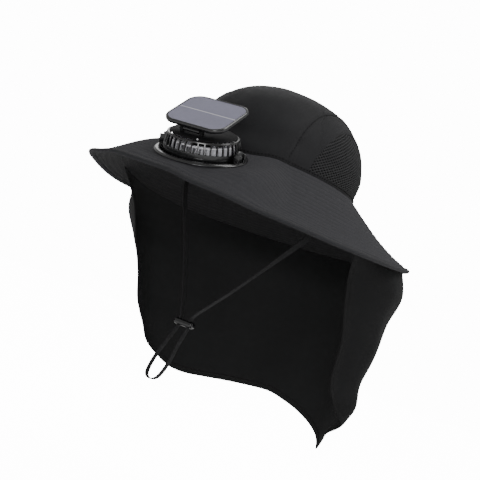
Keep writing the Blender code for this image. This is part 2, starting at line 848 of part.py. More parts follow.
def make_rotor(mat, spin):
    """The blower rotor: a floor with a bored hub, upright blades round it and a ring on top."""
    bore = SHAFT_RADIUS + GAP
    outline = [
        (bore, 0),
        (ROTOR_RADIUS, 0),
        (ROTOR_RADIUS, ROTOR_FLOOR),
        (HUB_RADIUS, ROTOR_FLOOR),
        (HUB_RADIUS, HUB_HEIGHT),
        (bore, HUB_HEIGHT),
    ]
    rotor = add_object("fan_rotor", lathe(outline, RING_STEPS), mat, spin)
    bm = bmesh.new()
    low = ROTOR_FLOOR * 0.5
    high = ROTOR_FLOOR + BLADE_HEIGHT
    size = (BLADE_DEPTH, BLADE_THICKNESS, high - low)
    for n in range(BLADE_COUNT):
        turn = Matrix.Rotation(2 * math.pi * n / BLADE_COUNT, 4, "Z")
        centre = (ROTOR_RADIUS - BLADE_DEPTH * 0.6, 0, (high + low) / 2)
        place = turn @ Matrix.Translation(centre) @ Matrix.Diagonal((*size, 1))
        bmesh.ops.create_cube(bm, size=1, matrix=place)
    combine(rotor, add_object("blades", bm, None, spin), "UNION")
    ring = lathe(
        tube_outline(ROTOR_RADIUS - BLADE_DEPTH, ROTOR_RADIUS, high - ROTOR_FLOOR, high + GAP),
        RING_STEPS,
    )
    combine(rotor, add_object("blade_ring", ring, None, spin), "UNION")
    return rotor


def make_solar(frame_mat, cell_mat, hinge):
    """The panel: a shallow frame with a knuckle and pin below, and the cell in its recess."""
    middle = SOLAR_LENGTH / 2 - PANEL_OVERHANG
    low = PANEL_LIFT
    high = PANEL_LIFT + SOLAR_THICKNESS
    frame = add_object(
        "solar_frame",
        rounded_plate(SOLAR_WIDTH, SOLAR_LENGTH, SOLAR_CORNER, low, high, middle),
        frame_mat,
        hinge,
    )
    recess = rounded_plate(
        SOLAR_WIDTH - 2 * SOLAR_RIM,
        SOLAR_LENGTH - 2 * SOLAR_RIM,
        SOLAR_CORNER - SOLAR_RIM,
        high - CELL_THICKNESS - GAP,
        high + 0.002,
        middle,
    )
    combine(frame, add_object("cell_recess", recess, None, hinge), "DIFFERENCE")
    knuckle = rod_x(HINGE_RADIUS, KNUCKLE_LENGTH, (0, 0, 0))
    combine(frame, add_object("knuckle", knuckle, None, hinge), "UNION")
    web = block((KNUCKLE_LENGTH * 0.96, HINGE_RADIUS * 1.6, PANEL_LIFT + 0.001), (0, 0, PANEL_LIFT / 2))
    combine(frame, add_object("knuckle_web", web, None, hinge), "UNION")
    pin = rod_x(HINGE_PIN, KNUCKLE_LENGTH + 2 * LUG_THICKNESS, (0, 0, 0))
    combine(frame, add_object("hinge_pin", pin, None, hinge), "UNION")
    cell = rounded_plate(
        SOLAR_WIDTH - 2 * SOLAR_RIM - 2 * GAP,
        SOLAR_LENGTH - 2 * SOLAR_RIM - 2 * GAP,
        SOLAR_CORNER - SOLAR_RIM - GAP,
        high - CELL_THICKNESS,
        high,
        middle,
    )
    add_object("solar_cell", cell, cell_mat, hinge)
    return frame


def main():
    for old in list(bpy.data.objects):
        bpy.data.objects.remove(old)
    cloth = material("grey_cloth", (0.035, 0.036, 0.042), 0.85)
    crown_cloth = material("smooth_cloth", (0.028, 0.029, 0.033), 0.7)
    net = material("net_cloth", (0.03, 0.03, 0.033), 0.8)
    binding = material("edge_tape", (0.03, 0.031, 0.036), 0.8)
    flap = material("flap_cloth", (0.016, 0.016, 0.018), 0.85)
    tape = material("strap_tape", (0.03, 0.03, 0.032), 0.8)
    plastic = material("black_plastic", (0.012, 0.012, 0.013), 0.25)
    blades = material("blade_plastic", (0.35, 0.35, 0.38), 0.35)
    cell = material("solar_glass", (0.12, 0.12, 0.17), 0.15, 0.1)

    lean = math.radians(FAN_LEAN)
    seat = empty("fan_seat", (0, -FAN_FORWARD, -FAN_SEAT_DEPTH), (lean, 0, 0))
    tilt = empty("fan_tilt_axis", (0, 0, TRUNNION_HEIGHT), parent=seat)
    motor_low = HOUSING_TOP + GAP - TRUNNION_HEIGHT - MOTOR_LENGTH
    spin = empty("rotor_axis", (0, 0, motor_low - 2 * GAP - HUB_HEIGHT), parent=tilt)
    hinge = empty(
        "panel_axis",
        (0, -HINGE_FORWARD, HINGE_RISE - TRUNNION_HEIGHT),
        (math.radians(PANEL_TILT), 0, 0),
        tilt,
    )

    make_crown(crown_cloth)
    make_net_panel(net, "net_left", 1)
    make_net_panel(net, "net_right", -1)
    make_brim(cloth)
    make_binding(binding)
    make_flap(flap)
    make_strap(tape)
    make_slider(plastic)
    make_base(plastic, seat)
    make_clamp(plastic, seat)
    make_housing(plastic, tilt)
    make_cap(plastic, tilt)
    make_rotor(blades, spin)
    make_solar(plastic, cell, hinge)


main()
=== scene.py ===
"""Sun hat with a solar fan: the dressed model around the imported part. Metres, +Z up, front is -Y."""

import math

import bmesh
import bpy
from mathutils import Euler, Matrix, Vector, noise


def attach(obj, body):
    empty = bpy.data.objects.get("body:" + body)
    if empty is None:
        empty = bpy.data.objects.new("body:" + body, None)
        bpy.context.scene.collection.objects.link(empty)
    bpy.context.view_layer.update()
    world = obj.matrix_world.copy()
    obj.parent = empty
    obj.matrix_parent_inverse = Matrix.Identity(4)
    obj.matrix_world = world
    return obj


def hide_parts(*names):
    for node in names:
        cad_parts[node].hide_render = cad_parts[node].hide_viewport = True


bl_info = {
    "name": "Solar fan sun hat",
    "version": (1, 0, 0),
    "blender": (4, 5, 0),
    "location": "View3D > Sidebar > Sun hat",
    "description": "Makes a wide brimmed sun hat with a net crown, a neck flap, a chin strap and a solar fan",
    "category": "Add Mesh",
}

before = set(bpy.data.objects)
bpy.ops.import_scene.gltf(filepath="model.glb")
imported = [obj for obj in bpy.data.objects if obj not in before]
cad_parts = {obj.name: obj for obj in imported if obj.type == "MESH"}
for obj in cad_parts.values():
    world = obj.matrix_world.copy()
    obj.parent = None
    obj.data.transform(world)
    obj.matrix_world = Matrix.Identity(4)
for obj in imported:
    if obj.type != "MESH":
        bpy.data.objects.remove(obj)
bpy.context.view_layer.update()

# Sizes that the solids have too.
CROWN_WIDTH = 0.174
CROWN_LENGTH = 0.206
CROWN_HEIGHT = 0.085
CROWN_LEAN = 0.006
BRIM_WIDTH = 0.322
BRIM_LENGTH = 0.392
BRIM_SHIFT = -0.004
BRIM_DROP = 0.055
BRIM_WALL = 0.0024
FLAP_FALL = 0.255
FLAP_START = 75.0
FLAP_SEAM_FRONT = 0.72
FLAP_SEAM_BACK = 0.955
FAN_LEAN = math.radians(25.0)
FAN_FORWARD = CROWN_LENGTH / 2 + 0.4072 * (BRIM_LENGTH / 2 - BRIM_SHIFT - CROWN_LENGTH / 2)
FAN_SEAT_DEPTH = BRIM_DROP * 0.4418
FLANGE_RADIUS = 0.0435
FLANGE_HEIGHT = 0.0023
SLEEVE_RADIUS = 0.0392
SLEEVE_WALL = 0.0019
SLEEVE_REACH = 0.0075
CLAMP_HEIGHT = 0.0022
TRUNNION_HEIGHT = 0.0065
HOUSING_RADIUS = 0.0355
HOUSING_BOTTOM = -0.0070
HOUSING_TOP = 0.0192
CAP_RADIUS = 0.0310
CAP_HEIGHT = 0.0034
MOTOR_RADIUS = 0.0090
MOTOR_LENGTH = 0.0105
ROTOR_RADIUS = 0.0305
SOLAR_WIDTH = 0.064
SOLAR_LENGTH = 0.057
SOLAR_CORNER = 0.013
SOLAR_THICKNESS = 0.0050
PANEL_TILT = math.radians(16.0)
HINGE_FORWARD = 0.0210
HINGE_RISE = 0.0255
PANEL_LIFT = 0.0025
PANEL_OVERHANG = 0.0040
GAP = 0.0003
SLIDER_FORWARD = 0.058
SLIDER_DROP = 0.173
SLOT_SPACING = 0.0110
STRAP_LOOP = 0.0595
LOOP_SWING = 0.026

# How much less the fan's flat seat lifts the brim's edge beside it, as a share.
EDGE_SAG = 0.75

# Distance of the crown's long seams from its middle.
SEAM_LANE = 0.0540

# Lengths that the UV maps give the cloths: up the crown, across the brim and down the flap.
CROWN_CLOTH_TALL = 0.135
BRIM_CLOTH_WIDE = 0.092
FLAP_CLOTH_TALL = 0.205

# The brim's slanting width over its width in plan, and the share of it that tucks under the crown.
BRIM_SLANT = 1.16
BRIM_TUCK = 0.03

# Edge tape: half its width and half its thickness.
TAPE_REACH = 0.0030
TAPE_HALF = 0.0019

# Crown profile from foot to top: share of the half width, share of the height.
CROWN_PROFILE = (
    (1.000, 0.00),
    (1.000, 0.15),
    (0.985, 0.30),
    (0.940, 0.45),
    (0.865, 0.60),
    (0.775, 0.72),
    (0.660, 0.82),
    (0.520, 0.90),
    (0.345, 0.96),
    (0.130, 0.995),
    (0.000, 1.00),
)

# Brim slope: share of the way out, share of the drop.
BRIM_PROFILE = ((0.00, 0.00), (0.25, 0.31), (0.50, 0.60), (0.75, 0.83), (1.00, 1.00))

# Brim edge: heading, share of the drop there.
BRIM_EDGE = (
    (0, 1.00),
    (30, 1.08),
    (60, 1.08),
    (90, 0.97),
    (117, 0.78),
    (150, 0.76),
    (180, 0.79),
    (225, 0.88),
    (270, 0.97),
    (300, 0.87),
    (335, 0.93),
)

# Flap in plan at six levels: share of the fall, then x and y of the front edge, the side, the
# quarter and the back quarter, x in half brim widths and y in half brim lengths, then the back's y.
FLAP_LEVELS = (
    (0.29, 0.785, -0.100, 0.990, 0.148, 0.880, 0.470, 0.445, 0.800, 0.925),
    (0.41, 0.777, 0.020, 0.925, 0.250, 0.845, 0.490, 0.440, 0.820, 0.930),
    (0.53, 0.770, 0.155, 0.880, 0.372, 0.827, 0.530, 0.430, 0.830, 0.935),
    (0.66, 0.744, 0.240, 0.830, 0.418, 0.795, 0.592, 0.420, 0.840, 0.935),
    (0.78, 0.715, 0.403, 0.795, 0.551, 0.710, 0.689, 0.405, 0.850, 0.930),
    (1.00, 0.680, 0.480, 0.600, 0.580, 0.615, 0.690, 0.385, 0.855, 0.920),
)

# Where the hem hangs: share of the way round from the left front edge, share of the fall.
FLAP_HEM = (
    (0.00, 0.720),
    (0.05, 0.800),
    (0.125, 0.855),
    (0.20, 0.900),
    (0.25, 0.945),
    (0.29, 0.980),
    (0.32, 0.955),
    (0.37, 0.895),
    (0.43, 0.848),
    (0.50, 0.830),
    (0.68, 0.885),
    (0.74, 0.884),
    (0.81, 0.855),
    (0.88, 0.820),
    (0.94, 0.765),
    (1.00, 0.690),
)

# Flap folds: share of the way round, half width as a share, depth in half brim widths.
FLAP_FOLDS = (
    (0.10, 0.05, 0.030),
    (0.22, 0.05, -0.040),
    (0.34, 0.05, 0.035),
    (0.47, 0.06, -0.060),
    (0.60, 0.06, 0.030),
    (0.74, 0.06, -0.025),
    (0.88, 0.06, 0.020),
)

# Chin strap, left half from the brim to the slider, in metres.
STRAP_ROUTE = (
    (0.0850, -0.0100, -0.0220),
    (0.0745, -0.0160, -0.0500),
    (0.0520, -0.0270, -0.0880),
    (0.0270, -0.0420, -0.1300),
)


def length_prop(name, description, metres):
    """A length for a group of sizes."""
    return bpy.props.FloatProperty(name=name, description=description, unit="LENGTH", default=metres)


def color_prop(name, description, rgb):
    """A colour for a group of sizes."""
    return bpy.props.FloatVectorProperty(name=name, description=description, subtype="COLOR", default=rgb)


def angle_prop(name, description, degrees):
    """An angle for a group of sizes."""
    return bpy.props.FloatProperty(
        name=name, description=description, subtype="ANGLE", default=math.radians(degrees)
    )


def share_prop(name, description, part):
    """A share for a group of sizes."""
    return bpy.props.FloatProperty(name=name, description=description, subtype="FACTOR", default=part)


class HatCloth(bpy.types.PropertyGroup):
    """Sizes and colours of the hat's cloth."""

    brim_color: color_prop("Brim colour", "Dye of the brim's cloth", (0.0355, 0.0355, 0.0390))
    crown_color: color_prop("Crown colour", "Dye of the crown's cloth", (0.0150, 0.0150, 0.0162))
    flap_color: color_prop("Flap colour", "Dye of the neck flap's cloth", (0.0088, 0.0088, 0.0091))
    row_spacing: length_prop("Row spacing", "From one stitched row of the brim to the next", 0.0059)
    stitch_length: length_prop("Stitch length", "One stitch and its gap", 0.0034)
    stitch_radius: length_prop("Thread radius", "Half the sewing thread's thickness", 0.00022)
    crown_wall: length_prop("Crown cloth", "Thickness of the crown's cloth", 0.0012)
    flap_wall: length_prop("Flap cloth", "Thickness of the flap's cloth", 0.0008)
    hem_width: length_prop("Hem width", "Width of the flap's turned hem", 0.0065)
    tape_width: length_prop("Strap width", "Width of the chin strap's tape", 0.0060)
    tape_thickness: length_prop("Strap thickness", "Thickness of the chin strap's tape", 0.0010)


class HatNet(bpy.types.PropertyGroup):
    """Sizes of the net let into the crown."""

    middle: angle_prop("Middle", "Heading of each net's highest point", 88.5)
    front: angle_prop("Front half", "Turn from the middle to the front end", 36)
    back: angle_prop("Back half", "Turn from the middle to the back end", 43)
    low: share_prop("Low edge", "Share of the crown's height", 0.035)
    high: share_prop("High edge", "Share of the crown's height", 0.70)
    pitch: length_prop("Pitch", "From one hole of the net to the next, along the crown's foot", 0.0048)
    strand: length_prop("Strand", "Width of the net's strands", 0.0009)


class HatFan(bpy.types.PropertyGroup):
    """Sizes and colours of the fan and its panel."""

    ribs: bpy.props.IntProperty(name="Ribs", description="Upright ribs of the grille", default=36, min=8)
    rib_width: length_prop("Rib width", "Width of one rib", 0.0015)
    blades: bpy.props.IntProperty(name="Blades", description="Upright blades of the rotor", default=32, min=6)
    plastic_color: color_prop("Plastic", "Colour of the black plastic", (0.006, 0.006, 0.0065))
    blade_color: color_prop("Blades colour", "Colour of the rotor", (0.80, 0.80, 0.84))
    # The cell's colour holds its own purple tint and a painted reflection: it is lighter than the cell
    # itself, standing in for the resin's sheen.
    cell_and_sheen_color: color_prop("Cell", "Colour of the solar cell", (0.185, 0.181, 0.262))


# Shapes that several pieces share.


def smoothstep(t):
    t = max(0.0, min(1.0, t))
    return t * t * (3 - 2 * t)


def table_value(rows, at):
    """Reads a table's second column at a value of its first, along a smooth curve."""
    if at <= rows[0][0]:
        return rows[0][1]
    if at >= rows[-1][0]:
        return rows[-1][1]
    k = 0
    while rows[k + 1][0] < at:
        k += 1
    x0, y0 = rows[k][:2]
    x1, y1 = rows[k + 1][:2]

    def slope(n):
        a = rows[max(n - 1, 0)]
        b = rows[min(n + 1, len(rows) - 1)]
        return (b[1] - a[1]) / (b[0] - a[0])

    span = x1 - x0
    t = (at - x0) / span
    h00 = 2 * t**3 - 3 * t**2 + 1
    h10 = t**3 - 2 * t**2 + t
    h01 = -2 * t**3 + 3 * t**2
    h11 = t**3 - t**2
    return h00 * y0 + h10 * span * slope(k) + h01 * y1 + h11 * span * slope(k + 1)


EDGE_ROUND = [
    *((a - 360, v) for a, v in BRIM_EDGE[-2:]),
    *BRIM_EDGE,
    *((a + 360, v) for a, v in BRIM_EDGE[:2]),
]


def spline(points, steps):
    """A smooth line through points, with the same number of steps between each two."""
    points = [Vector(p) for p in points]
    line = []
    for k in range(len(points) - 1):
        p0 = points[max(k - 1, 0)]
        p1 = points[k]
        p2 = points[k + 1]
        p3 = points[min(k + 2, len(points) - 1)]
        for n in range(steps):
            t = n / steps
            a = 2 * p1 - 2 * p2 + (p2 - p0) / 2 + (p3 - p1) / 2
            b = -3 * p1 + 3 * p2 - (p2 - p0) - (p3 - p1) / 2
            line.append(a * t**3 + b * t**2 + (p2 - p0) / 2 * t + p1)
    line.append(points[-1])
    return line


def along(line, share):
    """A point at a share of a line's steps."""
    at = share * (len(line) - 1)
    k = max(0, min(int(at), len(line) - 2))
    return line[k].lerp(line[k + 1], at - k)


def even(line, count):
    """The same line with points at equal distances."""
    reach = [0.0]
    for a, b in zip(line, line[1:]):
        reach.append(reach[-1] + (b - a).length)
    spaced = []
    k = 0
    for n in range(count + 1):
        want = reach[-1] * n / count
        while k < len(line) - 2 and reach[k + 1] < want:
            k += 1
        step = max(reach[k + 1] - reach[k], 1e-12)
        spaced.append(line[k].lerp(line[k + 1], min(1.0, (want - reach[k]) / step)))
    return spaced


def length_of(line):
    return sum((b - a).length for a, b in zip(line, line[1:]))


def brim_plan(heading, out):
    """A point of the brim in plan: out is 0 at the crown and 1 at the edge."""
    turn = math.radians(heading)
    sx = math.sin(turn)
    cy = math.cos(turn)
    x0 = CROWN_WIDTH / 2 * sx
    y0 = -CROWN_LENGTH / 2 * cy
    x1 = BRIM_WIDTH / 2 * sx
    y1 = BRIM_SHIFT - BRIM_LENGTH / 2 * cy
    return x0 + (x1 - x0) * out, y0 + (y1 - y0) * out


def away_from_fan(x, y):
    """Distance of a point of the brim from the fan's axis, in the plane of its seat."""
    return math.hypot(x, (y + FAN_FORWARD) / math.cos(FAN_LEAN))


def seat_height(y):
    """Height of the fan's seat at a distance forward."""
    return -FAN_SEAT_DEPTH + (y + FAN_FORWARD) * math.tan(FAN_LEAN)


def brim_top(heading, out, x, y):
    """Height of the brim's upper face: a bell, pressed flat under the fan."""
    bell = -BRIM_DROP * table_value(EDGE_ROUND, heading % 360) * table_value(BRIM_PROFILE, out)
    away = away_from_fan(x, y)
    flat = 1 - smoothstep((away - FLANGE_RADIUS * 1.25) / (FLANGE_RADIUS * 0.9))
    beside = smoothstep(heading % 360 / 12) * (1 - smoothstep((heading % 360 - 60) / 20))
    flat *= 1 - EDGE_SAG * beside * smoothstep((out - 0.65) / 0.35)
    return bell * (1 - flat) + seat_height(y) * flat


def brim_point(heading, out, below=0.0):
    x, y = brim_plan(heading, out)
    return Vector((x, y, brim_top(heading, out, x, y) - below))


CROWN_LINE = even(spline([(r, h, 0) for r, h in CROWN_PROFILE], 12), 240)


def crown_at(heading, travel, inset=0.0):
    """A point of the crown's outer face at a share of the way up its cloth, or inset from it."""
    at = along(CROWN_LINE, travel)
    turn = math.radians(heading)
    x = (CROWN_WIDTH / 2 - inset) * at.x * math.sin(turn)
    y = -(CROWN_LENGTH / 2 - inset) * at.x * math.cos(turn)
    y += CROWN_LEAN * smoothstep(at.y / 0.3)
    foot = brim_top(heading, 0.0, *brim_plan(heading, 0.0)) + GAP
    top = CROWN_HEIGHT - inset
    return Vector((x, y, foot + (top - foot) * at.y))


def crown_outward(p):
    """The way out of the crown's cloth at a point."""
    return Vector((p.x / CROWN_WIDTH**2, p.y / CROWN_LENGTH**2, max(p.z, 0.0) * 0.6 / 0.1**2)).normalized()


def crown_puff(p):
    """Slow dents of the crown's soft cloth."""
    slow = noise.noise(p * 22.0) * 0.0011 + noise.noise(p * 60.0 + Vector((3, 1, 7))) * 0.0004
    return slow * smoothstep((p.z - 0.002) / 0.02)


def travel_at(height_share):
    """How far up the profile a height lies, as a share of the cloth."""
    k = 0
    while k < len(CROWN_LINE) - 2 and CROWN_LINE[k + 1].y < height_share:
        k += 1
    a = CROWN_LINE[k]
    b = CROWN_LINE[k + 1]
    return (k + min(1.0, max(0.0, (height_share - a.y) / max(b.y - a.y, 1e-9)))) / (len(CROWN_LINE) - 1)


# Mesh helpers.


def new_piece(name, bm, material, body="hat", smooth_angle=50):
    """Makes an object of a finished bmesh, with its material, and hangs it on its body."""
    mesh = bpy.data.meshes.new(name)
    bm.to_mesh(mesh)
    bm.free()
    mesh.materials.append(material)
    piece = bpy.data.objects.new(name, mesh)
    bpy.context.scene.collection.objects.link(piece)
    mesh.shade_smooth()
    if smooth_angle < 180:
        mesh.set_sharp_from_angle(angle=math.radians(smooth_angle))
    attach(piece, body)
    return piece


def map_flat(bm, uv, wide=1.0, tall=1.0):
    """Takes a UV map from the points' places."""
    for face in bm.faces:
        for loop in face.loops:
            loop[uv].uv = (loop.vert.co.x * wide, loop.vert.co.y * tall)


def cloth_grid(columns, rows, place, size, wrap=False):
    """A grid of cloth bent into place. place takes the shares across and up and gives a point."""
    bm = bmesh.new()
    uv = bm.loops.layers.uv.new("cloth")
    half = Matrix.Translation((0.5, 0.5, 0))
    bmesh.ops.create_grid(bm, x_segments=columns, y_segments=rows, size=0.5, matrix=half)
    map_flat(bm, uv, *size)
    for vert in bm.verts:
        vert.co = place(vert.co.x, vert.co.y)
    if wrap:
        bmesh.ops.remove_doubles(bm, verts=bm.verts, dist=1e-6)
    return bm


def thicken(bm, wall):
    """Gives a sheet its wall, inwards from the face it was made on."""
    bmesh.ops.recalc_face_normals(bm, faces=bm.faces)
    bm.normal_update()
    inwards = bm.verts.layers.float_vector.new("inwards")
    for vert in bm.verts:
        vert[inwards] = -vert.normal
    lifted = bmesh.ops.extrude_face_region(bm, geom=bm.faces[:])
    for vert in lifted["geom"]:
        if isinstance(vert, bmesh.types.BMVert):
            vert.co += vert[inwards] * wall
    bm.verts.layers.float_vector.remove(inwards)
    bmesh.ops.recalc_face_normals(bm, faces=bm.faces)


def turned(outline, steps, matrix, closed=True):
    """Spins an outline of (radius, height) about Z, then places it."""
    bm = bmesh.new()
    uv = bm.loops.layers.uv.new("cloth")
    verts = [bm.verts.new((r, 0, h)) for r, h in outline]
    pairs = list(zip(verts, verts[1:]))
    if closed:
        pairs.append((verts[-1], verts[0]))
    edges = [bm.edges.new(p) for p in pairs]
    bmesh.ops.spin(
        bm,
        geom=verts + edges,
        cent=(0, 0, 0),
        axis=(0, 0, 1),
        angle=math.tau,
        steps=steps,
        use_merge=True,
    )
    bmesh.ops.remove_doubles(bm, verts=bm.verts, dist=1e-6)
    bmesh.ops.recalc_face_normals(bm, faces=bm.faces)
    map_flat(bm, uv)
    bmesh.ops.transform(bm, matrix=matrix, verts=bm.verts)
    return bm


def join_into(bm, extra):
    """Adds another bmesh to a bmesh, and frees it."""
    mesh = bpy.data.meshes.new("part")
    extra.to_mesh(mesh)
    extra.free()
    bm.from_mesh(mesh)
    bpy.data.meshes.remove(mesh)


def soften(points, radius, steps=3):
    """Rounds the corners of a closed outline of (radius, height)."""
    rounded = []
    for k, here in enumerate(points):
        here = Vector(here)
        before = Vector(points[k - 1])
        after = Vector(points[(k + 1) % len(points)])
        if here.x < 1e-6:
            rounded.append(here)
            continue
        reach = min(radius, (before - here).length * 0.45, (after - here).length * 0.45)
        a = here + (before - here).normalized() * reach
        b = here + (after - here).normalized() * reach
        for n in range(steps + 1):
            t = n / steps
            rounded.append(a * (1 - t) ** 2 + here * 2 * t * (1 - t) + b * t * t)
    return [(p.x, p.y) for p in rounded]


def bevelled(bm, verts, edges, width, segments):
    """Bevels edges of a new shape, and gives the shape's points afterwards."""
    done = bmesh.ops.bevel(
        bm, geom=edges, offset=width, segments=segments, profile=0.5, affect="EDGES", material=-1
    )
    return list({v for f in done["faces"] for v in f.verts} | {v for v in verts if v.is_valid})


def add_box(bm, size, matrix, bevel=0.0, segments=2):
    """Adds a bevelled box to a bmesh."""
    made = bmesh.ops.create_cube(bm, size=1, matrix=Matrix.Diagonal((*size, 1)))
    verts = made["verts"]
    if bevel:
        edges = list({e for v in verts for e in v.link_edges})
        verts = bevelled(bm, verts, edges, bevel, segments)
    bmesh.ops.transform(bm, matrix=matrix, verts=verts)


def add_rod(bm, radius, depth, matrix, segments=24, bevel=0.0):
    """Adds a round bar along Z to a bmesh."""
    made = bmesh.ops.create_cone(
        bm, cap_ends=True, segments=segments, radius1=radius, radius2=radius, depth=depth, matrix=Matrix()
    )
    verts = made["verts"]
    if bevel:
        edges = {e for v in verts for e in v.link_edges}
        rims = [e for e in edges if abs(e.verts[0].co.z - e.verts[1].co.z) < 1e-7]
        verts = bevelled(bm, verts, rims, bevel, 2)
    bmesh.ops.transform(bm, matrix=matrix, verts=verts)


def add_bent(bm, columns, rows, shape, lift, matrix):
    """Adds a small grid bent by shape, and thickened by lifting a copy of each point."""
    made = bmesh.ops.create_grid(bm, x_segments=columns, y_segments=rows, size=0.5)
    corners = set(made["verts"])
    sheet = [f for f in bm.faces if all(v in corners for v in f.verts)]
    for vert in made["verts"]:
        vert.co = shape(vert.co.x, vert.co.y)
    lifted = bmesh.ops.extrude_face_region(bm, geom=sheet)
    tops = [g for g in lifted["geom"] if isinstance(g, bmesh.types.BMVert)]
    for vert in tops:
        vert.co = lift(vert.co)
    both = made["verts"] + tops
    bmesh.ops.recalc_face_normals(bm, faces=list({f for v in both for f in v.link_faces}))
    bmesh.ops.transform(bm, matrix=matrix, verts=both)


def add_stitch(bm, a, b, radius):
    """Adds one short stitch of thread that dips into the cloth at both ends."""
    ahead = b - a
    side = Vector((0, 0, 1)).cross(ahead).normalized()
    up = ahead.cross(side).normalized()
    axes = ((*ahead.normalized(), 0), (*side, 0), (*up, 0), (0, 0, 0, 1))
    size = Matrix.Diagonal((ahead.length / 2, radius * 1.25, radius, 1))
    made = bmesh.ops.create_icosphere(bm, subdivisions=1, radius=1.0)
    shape = Matrix.Translation((a + b) / 2) @ Matrix(axes).transposed() @ size
    bmesh.ops.transform(bm, matrix=shape, verts=made["verts"])


def stitch_line(bm, line, pitch, radius):
    """Sews a row of stitches along a line that lies on the cloth. Each fills most of its pitch."""
    fill = 0.74
    count = max(2, round(length_of(line) / pitch))
    spots = even(line, count * 2)
    for n in range(count):
        b = spots[2 * n + 1].lerp(spots[2 * n + 2], (fill - 0.5) * 2)
        add_stitch(bm, spots[2 * n], b, radius)


# Finishes.


def principled(name, color, roughness, **inputs):
    material = bpy.data.materials.new(name)
    material.use_nodes = True
    shader = material.node_tree.nodes["Principled BSDF"]
    shader.inputs["Base Color"].default_value = (*color, 1)
    shader.inputs["Roughness"].default_value = roughness
    for socket, value in inputs.items():
        shader.inputs[socket.replace("_", " ")].default_value = value
    return material, shader


def node(material, kind, **values):
    made = material.node_tree.nodes.new(kind)
    for name, value in values.items():
        if hasattr(made, name):
            setattr(made, name, value)
        else:
            made.inputs[name.replace("_", " ")].default_value = value
    return made


def link(material, a, b):
    material.node_tree.links.new(a, b)


def math_node(material, operation, a, b=None, c=None):
    made = node(material, "ShaderNodeMath", operation=operation)
    for k, value in enumerate((a, b, c)):
        if value is None:
            continue
        if isinstance(value, (int, float)):
            made.inputs[k].default_value = value
        else:
            link(material, value, made.inputs[k])
    return made.outputs[0]


def grain(material, coords, **values):
    """Noise that stays on the piece when it moves."""
    made = node(material, "ShaderNodeTexNoise", **values)
    link(material, coords.outputs["Object"], made.inputs["Vector"])
    return made.outputs[0]


def tinted(material, color, shade):
    """A colour made lighter and darker by a shade."""
    tint = node(material, "ShaderNodeVectorMath", operation="SCALE")
    tint.inputs[0].default_value = color
    link(material, shade, tint.inputs["Scale"])
    return tint.outputs[0]


def raised(material, shader, height, strength, depth):
    """Gives a finish its fine relief."""
    bump = node(material, "ShaderNodeBump", Strength=strength, Distance=depth)
    link(material, height, bump.inputs["Height"])
    link(material, bump.outputs["Normal"], shader.inputs["Normal"])


def woven(name, color, roughness, thread, depth, uneven):
    """Plain woven cloth on the piece's own UV map, in metres: threads over and under each other."""
    material, shader = principled(name, color, roughness, Sheen_Weight=0.03, Sheen_Roughness=0.5)
    shader.inputs["Specular IOR Level"].default_value = 0.15
    coords = node(material, "ShaderNodeTexCoord")
    split = node(material, "ShaderNodeSeparateXYZ")
    link(material, coords.outputs["UV"], split.inputs[0])
    turn = math.pi / thread
    across = math_node(material, "SINE", math_node(material, "MULTIPLY", split.outputs[0], turn))
    up = math_node(material, "SINE", math_node(material, "MULTIPLY", split.outputs[1], turn))
    weave = math_node(material, "ABSOLUTE", math_node(material, "MULTIPLY", across, up))
    soft = grain(material, coords, Scale=38.0, Detail=4.0, Roughness=0.6)
    fine = grain(material, coords, Scale=900.0, Detail=3.0, Roughness=0.7)
    fuzz = math_node(material, "MULTIPLY", fine, 0.5)
    raised(material, shader, math_node(material, "ADD", weave, fuzz), 0.55, depth)
    shade = math_node(material, "MULTIPLY_ADD", soft, uneven, 1 - uneven / 2)
    weave_shade = math_node(material, "MULTIPLY_ADD", weave, 0.22, 0.90)
    total = math_node(material, "MULTIPLY", shade, weave_shade)
    link(material, tinted(material, color, total), shader.inputs["Base Color"])
    rough = math_node(material, "MULTIPLY_ADD", soft, 0.16, roughness - 0.08)
    link(material, rough, shader.inputs["Roughness"])
    return material


def moulded(name, color, roughness, coat, gloss):
    """Moulded plastic with a faint grain and smudges."""
    material, shader = principled(name, color, roughness, Coat_Weight=coat, Coat_Roughness=0.12)
    shader.inputs["Specular IOR Level"].default_value = gloss
    coords = node(material, "ShaderNodeTexCoord")
    fine = grain(material, coords, Scale=1600.0, Detail=2.0)
    smudge = grain(material, coords, Scale=70.0, Detail=5.0, Roughness=0.65)
    raised(material, shader, fine, 0.35, 0.00004)
    rough = math_node(material, "MULTIPLY_ADD", smudge, 0.16, roughness - 0.08)
    link(material, rough, shader.inputs["Roughness"])
    shade = math_node(material, "MULTIPLY_ADD", smudge, 0.24, 0.88)
    link(material, tinted(material, color, shade), shader.inputs["Base Color"])
    return material


